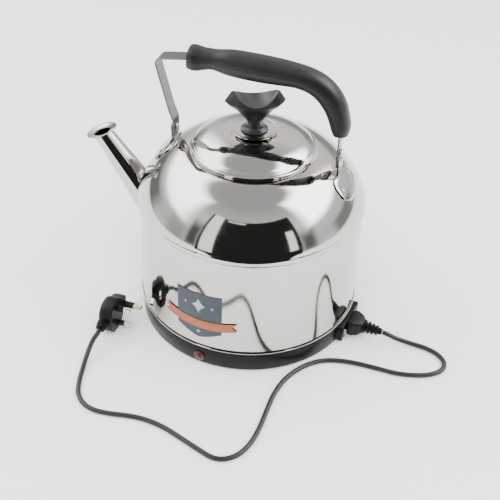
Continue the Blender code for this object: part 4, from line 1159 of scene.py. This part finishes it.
@dataclass
class Lid:
    """The lift-off lid with its cup and winged knob."""

    finishes: Finishes
    maker: Maker
    radius: float = 73.2
    rim: float = 229.8
    top: float = 252.6
    sheet: float = 1.0
    skirt: float = 61.2
    skirt_foot: float = 231.6
    cup: float = 26.7
    knob_turn: float = 23.0
    half_width: float = 34.2
    depth: float = 17.6
    knob_top: float = 302.7
    dip: float = 289.5

    def build(self) -> None:
        """Build the lid and its knob."""
        f, r, z, t = self.finishes, self.radius, self.rim, self.sheet
        rise = self.top - z
        shares = ((0.95, 0.25), (0.905, 0.373), (0.845, 0.496), (0.765, 0.632), (0.68, 0.737), (0.585, 0.829),
                  (0.49, 0.895), (0.395, 0.936), (0.3, 0.967), (0.19, 0.989), (0.09, 0.998))
        knots = [(r, 0, z + 2.4), (r - 0.4, 0, z + 3.6), (r - 1.6, 0, z + 5.1)]
        knots += [(r * share, 0, z + rise * level) for share, level in shares]
        crown = [(p.x, p.z) for p in smooth_route(knots, 1.2)]
        side = [(r - 0.6, z), (r - 0.15, z + 0.1), (r + 0.1, z + 0.45), (r + 0.1, z + 1.0), (r - 0.2, z + 1.4),
                (r - 0.3, z + 1.9)]
        low = [(3.2, self.top - t)]
        low += [(r * share - 0.3 * t, z + rise * level - t) for share, level in shares[-2::-2]]
        low += [(r - 2.8, z + 4.5), (r - 1.4, z + 2.4), (r - 1.4, z)]
        self.maker.piece(profile_mesh(side + crown + [(3.2, self.top)] + low, 192), "lid_cover", f.lid,
                         "polished_steel", ["lid_dome"])
        s, foot = self.skirt, self.skirt_foot
        under = z + 0.43 * rise - t - GAP
        self.maker.piece(profile_mesh([
            (s - 1.5, foot), (s - 0.6, foot), (s, foot + 1.2), (s, under - 0.4), (s - 5.0, under - 0.1),
            (s - 5.0, under - 1.0), (s - 1.0, under - 1.3), (s - 1.0, foot + 1.4)], 128), "lid_inner_ring",
            f.plain, "plain_steel", ["lid_skirt"])
        c, seat = self.cup, self.top + GAP
        self.maker.piece(profile_mesh([
            (3.2, seat), (c * 0.5, seat), (c * 0.62, seat + 0.1), (c * 0.74, seat + 0.35),
            (c * 0.86, seat + 0.85),
            (c * 0.94, seat + 1.4), (c - 0.3, seat + 1.75), (c, seat + 2.1), (c + 0.02, seat + 2.4),
            (c - 0.2, seat + 2.68), (c - 0.55, seat + 2.78), (c - 0.95, seat + 2.66), (c * 0.93, seat + 2.3),
            (c * 0.86, seat + 1.87), (c * 0.76, seat + 1.42), (c * 0.66, seat + 1.14), (c * 0.56, seat + 1.0),
            (3.2, seat + 1.0)], 128), "knob_dish", f.lid, "polished_steel", ["knob_cup"])
        self.knob(seat + 1.0 + GAP)
        self.screw(seat + 1.0 + GAP)

    def knob(self, foot: float) -> None:
        """Build the winged knob on its stem.

        Args:
            foot: The height of its foot.
        """
        top, dip, half = self.knob_top, self.dip, self.half_width
        levels = (
            (13.2, 13.2, foot, foot), (15.0, 15.0, foot + 0.1, foot + 0.1),
            (15.6, 15.6, foot + 0.7, foot + 0.7),
            (15.4, 15.4, foot + 1.5, foot + 1.5), (14.2, 14.2, foot + 2.3, foot + 2.3),
            (12.2, 12.2, foot + 3.4, foot + 3.4), (10.4, 10.4, foot + 5.3, foot + 5.3),
            (9.4, 9.4, foot + 7.6, foot + 7.6), (9.2, 9.2, foot + 10.0, foot + 10.0),
            (9.9, 9.6, foot + 13.2, foot + 13.2), (11.6, 10.1, foot + 15.6, foot + 15.6),
            (14.6, 11.0, foot + 18.4, foot + 18.4), (21.8, 13.5, top - 22.0, top - 22.6),
            (30.2, 16.7, top - 16.2, top - 18.6), (half - 0.6, 18.4, top - 12.4, top - 15.4),
            (half, 18.6, top - 11.6, top - 14.9),
            (half - 0.5, 18.85, top - 10.4, top - 14.2), (half - 6.6, self.depth + 0.6, top - 1.1, dip + 0.3),
            (half - 7.4, self.depth + 0.1, top - 0.2, dip + 0.9),
            (half - 8.4, self.depth - 0.8, top, dip + 0.9),
            (half - 9.6, self.depth - 2.0, top - 0.7, dip + 0.5),
        )
        loops = []
        for half_w, half_d, end_z, mid_z in levels:
            blend = min(1.0, max(0.0, (half_w - 10) / 16))
            loop = []
            for i in range(96):
                a = 2 * math.pi * i / 96
                c, s = math.cos(a), math.sin(a)
                loop.append((half_w * c, half_d * math.copysign(abs(s) ** (1 + 0.35 * blend), s),
                             mid_z + (end_z - mid_z) * c * c))
            loops.append(loop)
        last = loops[-1]
        for share in (0.8, 0.55, 0.3, 0.08):
            loop = []
            for x, y, _ in last:
                reach = share * x / (half - 9.6)
                loop.append((x * share, y * share, dip - 0.4 + (top - dip - 0.4) * reach * reach
                             + 0.9 * share * share))
            loops.append(loop)
        bm = swept_mesh(loops)
        spin = Matrix.Rotation(math.radians(self.knob_turn), 4, "Z")
        knob = self.maker.piece(bm, "knob_wings", self.finishes.knob, "grip_black", ["knob"], spin, 42)
        carve(knob, profile_mesh([(0, foot - 4), (2.8, foot - 4), (2.8, foot + 13), (0, foot + 13)], 32))

    def screw(self, foot: float) -> None:
        """Build the screw that holds the knob, seen from under the lid."""
        z = self.top - self.sheet - GAP
        screw = self.maker.piece(profile_mesh([
            (0, z - 2.3), (2.6, z - 2.2), (4.4, z - 1.7), (5.4, z - 0.8), (5.6, z), (2.5, z), (2.5, foot + 12),
            (0, foot + 12)], 40), "knob_fixing", self.finishes.screw, "plain_steel", ["knob_screw"])
        for turn in (0, 90):
            carve(screw, block_mesh((-3.4, -0.5, z - 3.4), (3.4, 0.5, z - 1.0)),
                  Matrix.Rotation(math.radians(turn + 12), 4, "Z"))


# --------------------------------------------------------------------------
# lead
# --------------------------------------------------------------------------


@dataclass
class Lead:
    """Power lead: connector, ribbed relief, cord and plug."""

    finishes: Finishes
    maker: Maker
    azimuth: float = -8.0
    face: float = 139.5
    z: float = 15.75
    socket: Point2 = (25.0, 17.0)
    relief_start: float = 157.6
    relief_end: float = 181.0
    cord_radius: float = 3.0
    plug_face: float = -135.7
    plug_y: float = -108.0
    plug_z: float = 21.8
    plug_depth: float = 17.4
    pitch: float = 22.2
    pin: float = 17.7
    earth_pin: float = 22.7
    route: tuple[Point3, ...] = (
        (197.0, -23.6, 9.2), (215.0, -21.6, 4.6), (233.5, -22.6, 3.3), (250.0, -28.8, 3.1),
        (260.2, -41.0, 3.1), (258.6, -54.5, 3.1), (246.5, -65.8, 3.1), (228.2, -73.1, 3.1),
        (208.1, -76.6, 3.1), (185.0, -76.1, 3.1), (161.4, -75.7, 3.1), (139.5, -78.0, 3.1),
        (121.9, -83.6, 3.1), (107.0, -94.2, 3.1), (94.2, -110.5, 3.1), (84.4, -131.4, 3.1),
        (79.6, -155.8, 3.1), (78.6, -181.2, 3.1), (78.3, -208.2, 3.1), (75.2, -234.0, 3.1),
        (67.4, -253.0, 3.1), (55.0, -264.0, 3.1), (41.1, -266.0, 3.1), (23.5, -260.2, 3.1),
        (0.2, -251.4, 3.1), (-22.5, -243.2, 3.1), (-44.7, -239.2, 3.1), (-65.9, -239.8, 3.1),
        (-85.2, -243.0, 3.1), (-105.0, -244.2, 3.1), (-121.6, -239.0, 3.1), (-133.8, -226.8, 3.1),
        (-141.2, -208.4, 3.1), (-145.6, -190.0, 4.0), (-148.2, -172.0, 8.2), (-148.0, -155.0, 16.5),
    )

    def build(self) -> None:
        """Build every piece of the lead."""
        pieces = [self.connector(), self.relief(), *self.plug()]
        self.cord(pieces)

    @staticmethod
    def rounded(half_w: float, half_h: float, cut: float, steps: int = 5) -> list[Point2]:
        """Return a rounded rectangle, as two coordinates."""
        out = []
        for sx, sy, start in ((1, 1, 0), (-1, 1, 90), (-1, -1, 180), (1, -1, 270)):
            for k in range(steps + 1):
                a = math.radians(start + 90 * k / steps)
                out.append((sx * (half_w - cut) + cut * math.cos(a), sy * (half_h - cut) + cut * math.sin(a)))
        return out

    def connector(self) -> bpy.types.Object:
        """Build the moulded connector.

        Returns:
            The connector.
        """
        place = turned(self.azimuth, (0, 0, self.z))
        x, w, h = self.face, self.socket[0] / 2 - 0.7, self.socket[1] / 2 - 0.5
        stations = (
            (x - 14.5, w - 0.5, h - 0.5, 1.4), (x - 14.0, w, h, 1.8), (x + 0.9, w, h, 1.8),
            (x + 1.3, 13.4, 9.5, 2.2), (x + 1.8, 14.0, 10.0, 2.6), (x + 6.6, 14.2, 10.2, 2.8),
            (x + 7.4, 14.0, 10.1, 3.0), (x + 8.6, 13.3, 9.8, 3.2), (x + 12.0, 12.4, 9.4, 3.4),
            (x + 14.6, 10.2, 8.8, 3.4), (x + 16.4, 8.6, 8.0, 3.4), (x + 17.8, 7.6, 7.4, 3.2),
        )
        bm = swept_mesh([[(s, y, z) for y, z in self.rounded(a, b, c)] for s, a, b, c in stations])
        body = self.maker.piece(bm, "connector_shell", self.finishes.plug, "cord_black", ["connector_body"],
                                place, 30)
        for y, z in ((-7.0, -2.0), (7.0, -2.0), (0.0, 2.0)):
            carve(body, block_mesh((x - 18.0, y - 1.5, z - 2.5), (x - 2.5, y + 1.5, z + 2.5)), place)
        return body

    def relief(self) -> bpy.types.Object:
        """Build the ribbed relief behind the connector.

        Returns:
            The relief.
        """
        start, end = self.relief_start, self.relief_end
        step = (end - start - 3.0) / 4
        outline: list[Point2] = [(0, start)]
        for k in range(4):
            z, wide, thin = start + k * step, 8.6 - 0.75 * k, 5.2 - 0.25 * k
            outline += [(wide - 0.7, z), (wide - 0.2, z + 0.2), (wide, z + 0.7), (wide, z + step * 0.44),
                        (wide - 0.2, z + step * 0.54), (wide - 0.7, z + step * 0.6), (thin, z + step * 0.68),
                        (thin - 0.1, z + step * 0.98)]
        outline += [(self.cord_radius + 1.3, end - 2.4), (self.cord_radius + 1.0, end - 0.6),
                    (self.cord_radius + 0.7, end), (0, end)]
        place = turned(self.azimuth, (0, 0, self.z)) @ Matrix.Rotation(math.radians(90), 4, "Y")
        return self.maker.piece(profile_mesh(outline, 48), "connector_ribs", self.finishes.plug, "cord_black",
                                ["connector_relief"], place)

    def plug(self) -> list[bpy.types.Object]:
        """Build the plug, its relief and its three pins.

        Returns:
            The pieces.
        """
        f, y0, z0, x0 = self.finishes, self.plug_y, self.plug_z, self.plug_face
        side = ((29.0, 8.4), (28.3, 8.9), (21.0, 10.4), (19.4, 11.0), (12.4, 18.0), (10.4, 19.6), (6.5, 20.9),
                (0.0, 21.3), (-6.0, 20.9), (-10.0, 19.6), (-13.5, 17.0), (-16.0, 13.9), (-18.0, 10.6),
                (-19.0, 7.6))
        contour = [(y0 + y, w) for y, w in side] + [(y0 + y, -w) for y, w in side[::-1]]
        loops = []
        d = self.plug_depth
        for x, share in ((x0, 0.965), (x0 - 0.35, 0.985), (x0 - 1.0, 1.0), (x0 - d * 0.55, 1.0),
                         (x0 - d * 0.7, 0.99), (x0 - d * 0.83, 0.965), (x0 - d * 0.93, 0.92),
                         (x0 - d * 0.98, 0.875), (x0 - d, 0.82)):
            loops.append([(x, y0 + 5 + (y - y0 - 5) * share, z0 + w * share) for y, w in contour])
        body = self.maker.piece(swept_mesh(loops), "plug_shell", f.plug, "cord_black", ["plug_body"], None, 26)
        exit_x = x0 - self.plug_depth * 0.56
        place = along((exit_x, y0 - 19.0 - GAP, z0), (0, -1, 0))
        r = self.cord_radius
        relief = self.maker.piece(profile_mesh([
            (0, 0), (7.2, 0), (7.6, 0.4), (7.6, 1.9), (7.2, 2.3), (6.2, 2.8), (6.2, 4.0), (6.8, 4.4),
            (7.0, 4.8),
            (6.9, 6.0), (6.5, 6.5), (5.6, 7.0), (5.4, 8.2), (5.9, 8.6), (6.0, 9.0), (5.8, 10.0), (4.6, 10.8),
            (r + 1.2, 11.2), (r + 0.8, 11.6), (0, 11.6)], 48), "plug_ribs", f.plug, "cord_black",
            ["plug_relief"], place)
        out = [body, relief]
        half = self.pitch / 2
        for name, y, z, dy, dz, length in (
            ("live", y0, z0 + half, 2.0, 3.2, self.pin), ("neutral", y0, z0 - half, 2.0, 3.2, self.pin),
            ("earth", y0 + self.pitch, z0, 4.0, 2.0, self.earth_pin),
        ):
            start = x0 + GAP
            sleeve = length * (0.52 if name != "earth" else 0.56)
            blade = block_mesh((start, y - dy, z - dz), (start + length, y + dy, z + dz), 0.8, 3)
            tip = self.maker.piece(blade, f"pin_{name}_blade", f.tip, "pin_brass", [f"pin_{name}"])
            bm = swept_mesh([[(x, y + a, z + b) for a, b in self.rounded(dy + g, dz + g, 0.8)]
                             for x, g in ((start, 0.12), (start + sleeve - 0.3, 0.12), (start + sleeve, 0.02))])
            out += [tip, self.maker.piece(bm, f"pin_{name}_sleeve", f.plug, "cord_black")]
        return out

    def cord(self, pieces: Sequence[bpy.types.Object]) -> None:
        """Build the cord as one smooth curve.

        Args:
            pieces: The pieces on the cord; not used.
        """
        place = turned(self.azimuth, (0, 0, self.z))
        heading = place.to_3x3() @ Vector((1, 0, 0))
        start = place @ Vector((self.relief_end + 4 * GAP, 0, 0))
        finish = Vector((self.plug_face - self.plug_depth * 0.56, self.plug_y - 31.0, self.plug_z))
        route = [start, start + heading * 7.0 + Vector((0, 0, -0.8))]
        route += [Vector(p) for p in self.route]
        route += [finish + Vector((0, -7.0, -0.8)), finish + Vector((0, -4 * GAP, 0))]
        points = smooth_route(route, 6.0)
        length = sum((b - a).length for a, b in zip(points, points[1:])) * MM
        curve = bpy.data.curves.new("cord_line", "CURVE")
        curve.dimensions = "3D"
        spline = curve.splines.new("POLY")
        spline.points.add(len(points) - 1)
        for knot, point in zip(spline.points, points):
            knot.co = (*(point * MM), 1.0)
        spline.use_smooth = True
        curve.bevel_depth = self.cord_radius * MM
        curve.bevel_resolution = 6
        curve.use_fill_caps = True
        obj = bpy.data.objects.new("cord_line", curve)
        bpy.context.scene.collection.objects.link(obj)
        curve.materials.append(self.finishes.cord)
        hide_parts("cord")
        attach(obj, self.maker.body)
        LOG.info("cord: %.3f m", length)


# --------------------------------------------------------------------------
# studio
# --------------------------------------------------------------------------


@dataclass(frozen=True)
class Card:
    """A panel that shows only in reflections, given by directions from the kettle."""

    name: str
    azimuth: Point2
    elevation: Point2
    light: float
    distance: float = 3.0
    feather: float = 0.0


@dataclass
class Studio:
    """Pale floor, soft lights, reflection cards and camera."""

    eye: Point3 = (0.2588, -0.9089, 0.8280)
    gaze: Point3 = (-0.2145, 0.7536, -0.6215)
    roll: float = 2.097
    lens: float = 69.66
    cards: tuple[Card, ...] = (
        Card("dark_wall", (-34.0, 64.0), (-25.0, 49.0), 0.03, 3.0, 0.01),
        Card("left_strip", (-31.0, -18.0), (-8.0, 49.0), 2.3, 2.9, 0.03),
        Card("right_strip", (52.0, 60.0), (3.0, 32.0), 2.2, 2.9, 0.05),
        Card("top_line", (-13.0, 10.0), (46.3, 47.8), 2.0, 2.9, 0.05),
        Card("left_grey", (-48.0, -31.5), (-14.0, 40.0), 0.16, 3.1, 0.35),
        Card("left_pale", (-75.0, -40.0), (-16.0, 26.0), 0.7, 3.2, 0.4),
        Card("right_grey", (60.0, 84.0), (-14.0, 32.0), 0.22, 3.1, 0.4),
        Card("left_bright", (-146.0, -46.0), (17.0, 64.0), 6.5, 3.3, 0.22),
        Card("right_bright", (70.0, 160.0), (22.0, 70.0), 9.0, 3.3, 0.22),
        Card("left_low", (-150.0, -80.0), (-8.0, 16.0), 0.3, 3.2, 0.3),
        Card("back_low", (150.0, 215.0), (-4.0, 18.0), 0.5, 3.2, 0.3),
        Card("right_low", (95.0, 140.0), (-6.0, 14.0), 0.4, 3.2, 0.3),
    )
    lamps: tuple[tuple[str, Point3, float, float], ...] = (
        ("front_light", (0.5, -2.0, 2.5), 2.6, 140.0), ("left_light", (-2.1, -0.3, 2.4), 2.4, 85.0),
        ("right_light", (2.2, 0.2, 2.4), 2.4, 75.0), ("back_light", (-0.2, 2.3, 2.5), 2.4, 55.0),
    )

    def build(self) -> None:
        """Build the studio."""
        self.floor()
        self.world()
        for card in self.cards:
            self.card(card)
        # painted shadow: a dark floor sheet that only reflections see
        self.painted_floor_shadow()
        for lamp in self.lamps:
            self.light(*lamp)
        self.camera()

    def floor(self) -> None:
        """Build the plain pale floor."""
        bm = bmesh.new()
        bmesh.ops.create_circle(bm, cap_ends=True, segments=96, radius=14.0)
        mesh = bpy.data.meshes.new("floor")
        bm.to_mesh(mesh)
        bm.free()
        floor = bpy.data.objects.new("floor", mesh)
        bpy.context.scene.collection.objects.link(floor)
        board = Board("pale_floor")
        tone = board.noise(board.place(), 1.5, 2.0)
        mesh.materials.append(board.set(Base_Color=board.mix(tone, (0.93, 0.93, 0.92), (0.9, 0.9, 0.895)),
                                        Roughness=0.7 + tone * 0.1))

    def world(self) -> None:
        """Light the scene from a soft sky that is brighter half-way up."""
        world = bpy.data.worlds.new("soft_room")
        bpy.context.scene.world = world
        world.use_nodes = True
        tree = world.node_tree
        shade = tree.nodes["Background"]
        coords = tree.nodes.new("ShaderNodeTexCoord")
        split = tree.nodes.new("ShaderNodeSeparateXYZ")
        ramp = tree.nodes.new("ShaderNodeValToRGB")
        tree.links.new(coords.outputs["Generated"], split.inputs[0])
        tree.links.new(split.outputs["Z"], ramp.inputs["Fac"])
        tree.links.new(ramp.outputs["Color"], shade.inputs["Color"])
        Board._set_stops(ramp, ((0.0, 1.5), (0.1, 1.1), (0.35, 1.3), (0.6, 1.5), (0.8, 0.95), (0.95, 0.7)))
        shade.inputs["Strength"].default_value = 1.0

    @staticmethod
    def unseen(obj: bpy.types.Object, light: float) -> None:
        """Make an object that only reflections see.

        Args:
            obj: The object; its "edge" attribute, 0 to 1, says how solid it is.
            light: How bright it is.
        """
        material = bpy.data.materials.new(obj.name)
        material.use_nodes = True
        tree = material.node_tree
        tree.nodes.clear()
        glow = tree.nodes.new("ShaderNodeEmission")
        clear = tree.nodes.new("ShaderNodeBsdfTransparent")
        mix = tree.nodes.new("ShaderNodeMixShader")
        edge = tree.nodes.new("ShaderNodeAttribute")
        out = tree.nodes.new("ShaderNodeOutputMaterial")
        edge.attribute_name = "edge"
        glow.inputs["Color"].default_value = (light, light, light * 0.98, 1.0)
        tree.links.new(edge.outputs["Fac"], mix.inputs[0])
        tree.links.new(clear.outputs[0], mix.inputs[1])
        tree.links.new(glow.outputs[0], mix.inputs[2])
        tree.links.new(mix.outputs[0], out.inputs["Surface"])
        obj.data.materials.append(material)
        obj.visible_camera = obj.visible_diffuse = obj.visible_shadow = False
        obj.visible_transmission = obj.visible_volume_scatter = False

    def card(self, card: Card) -> None:
        """Build one card as a patch of a sphere round the kettle's shoulder."""
        bm = bmesh.new()
        bmesh.ops.create_grid(bm, x_segments=32, y_segments=32, size=1.0)
        edge = bm.verts.layers.float.new("edge")
        for vert in bm.verts:
            u, v = vert.co.x, vert.co.y
            near = min(1 - abs(u), 1 - abs(v)) / (2 * card.feather) if card.feather > 0.03 else 1.0
            share = min(1.0, max(0.0, near))
            vert[edge] = share * share * (3 - 2 * share)
            az = math.radians(card.azimuth[0] + (card.azimuth[1] - card.azimuth[0]) * (u + 1) / 2)
            el = math.radians(card.elevation[0] + (card.elevation[1] - card.elevation[0]) * (v + 1) / 2)
            flat = card.distance * math.cos(el)
            vert.co = (flat * math.sin(az), -flat * math.cos(az), 0.18 + card.distance * math.sin(el))
        mesh = bpy.data.meshes.new(card.name)
        bm.to_mesh(mesh)
        bm.free()
        obj = bpy.data.objects.new(card.name, mesh)
        bpy.context.scene.collection.objects.link(obj)
        self.unseen(obj, card.light)

    def painted_floor_shadow(self) -> None:
        """Build a painted shadow: a dark sheet on the floor in front of the dark wall, seen only in
        reflections, that stands in for the shadow on the floor on the camera side.
        """
        edge = ((-34.0, 1.3), (-22.0, 0.9), (-8.0, 0.6), (6.0, 0.47), (18.0, 0.43), (32.0, 0.48),
                (46.0, 0.66), (56.0, 0.95), (63.0, 1.3))
        bm = bmesh.new()
        near = [bm.verts.new((r * math.sin(math.radians(a)), -r * math.cos(math.radians(a)), 0.002))
                for a, r in edge]
        edges = [bm.edges.new(pair) for pair in zip(near, near[1:])]
        new = [v for v in bmesh.ops.extrude_edge_only(bm, edges=edges)["geom"]
               if isinstance(v, bmesh.types.BMVert)]
        for vert in new:
            vert.co = vert.co.normalized() * 3.2
            vert.co.z = 0.002
        solid = bm.verts.layers.float.new("edge")
        for vert in bm.verts:
            vert[solid] = 1.0
        mesh = bpy.data.meshes.new("painted_floor_shadow")
        bm.to_mesh(mesh)
        bm.free()
        obj = bpy.data.objects.new("painted_floor_shadow", mesh)
        bpy.context.scene.collection.objects.link(obj)
        # painted shadow: a near-black glowing sheet over the floor, hidden from the camera, seen only in
        # reflections
        self.unseen(obj, 0.03)

    @staticmethod
    def light(name: str, place: Point3, size: float, power: float) -> None:
        """Add a soft square light aimed at the kettle.

        Args:
            name: The light's name.
            place: Where it stands.
            size: Its side.
            power: Its power in watts.
        """
        data = bpy.data.lights.new(name, "AREA")
        data.shape, data.size, data.energy = "SQUARE", size, power
        lamp = bpy.data.objects.new(name, data)
        bpy.context.scene.collection.objects.link(lamp)
        lamp.location = place
        lamp.rotation_mode = "QUATERNION"
        lamp.rotation_quaternion = (Vector(place) - Vector((0, 0, 0.15))).to_track_quat("Z", "Y")
        lamp.visible_camera = lamp.visible_glossy = False

    def camera(self) -> None:
        """Add the camera."""
        gaze = Vector(self.gaze).normalized()
        right = gaze.cross(Vector((0, 0, 1))).normalized()
        level = right.cross(gaze)
        turn = math.radians(self.roll)
        across = right * math.cos(turn) + level * math.sin(turn)
        up = across.cross(gaze)
        data = bpy.data.cameras.new("camera")
        data.lens, data.sensor_width = self.lens, 36.0
        data.clip_start, data.clip_end = 0.05, 60.0
        camera = bpy.data.objects.new("camera", data)
        bpy.context.scene.collection.objects.link(camera)
        basis = Matrix((across, up, -gaze)).transposed().to_4x4()
        camera.matrix_world = Matrix.Translation(self.eye) @ basis
        bpy.context.scene.camera = camera


# --------------------------------------------------------------------------
# the whole
# --------------------------------------------------------------------------


def dress_nodes(finishes: Finishes) -> None:
    """Give every CAD node its finish.

    Args:
        finishes: The materials.
    """
    slots = {s["node"]: s["material_slot"] for s in frame["record"]["subparts"]}
    for name, node in frame["nodes"].items():
        material = finishes.for_slot(slots[name])
        if name.startswith(("cover_screw", "inlet_screw", "grip_screw")):
            material = finishes.screw
        if not node.data.materials:
            node.data.materials.append(material)
        for index in range(len(node.data.materials)):
            node.data.materials[index] = material


def main() -> None:
    """Build the kettle's looks."""
    logging.basicConfig(level=logging.INFO, format="%(message)s")
    finishes = Finishes()
    Studio().build()
    dress_nodes(finishes)
    vessel_maker, handle_maker = Maker("vessel"), Maker("handle")
    Lead(finishes, Maker("lead")).build()
    vessel = Vessel(finishes, vessel_maker)
    wall = vessel.build()
    Spout(finishes, vessel_maker, vessel).build(wall)
    skirt = Base(finishes, vessel_maker).build()
    Inlet(finishes, vessel_maker).build(skirt)
    Badge(finishes, vessel_maker).build()
    Ears(finishes, vessel_maker, vessel).build()
    Handle(finishes, handle_maker).build()
    Lid(finishes, Maker("lid")).build()


if __name__ == "__main__":
    main()
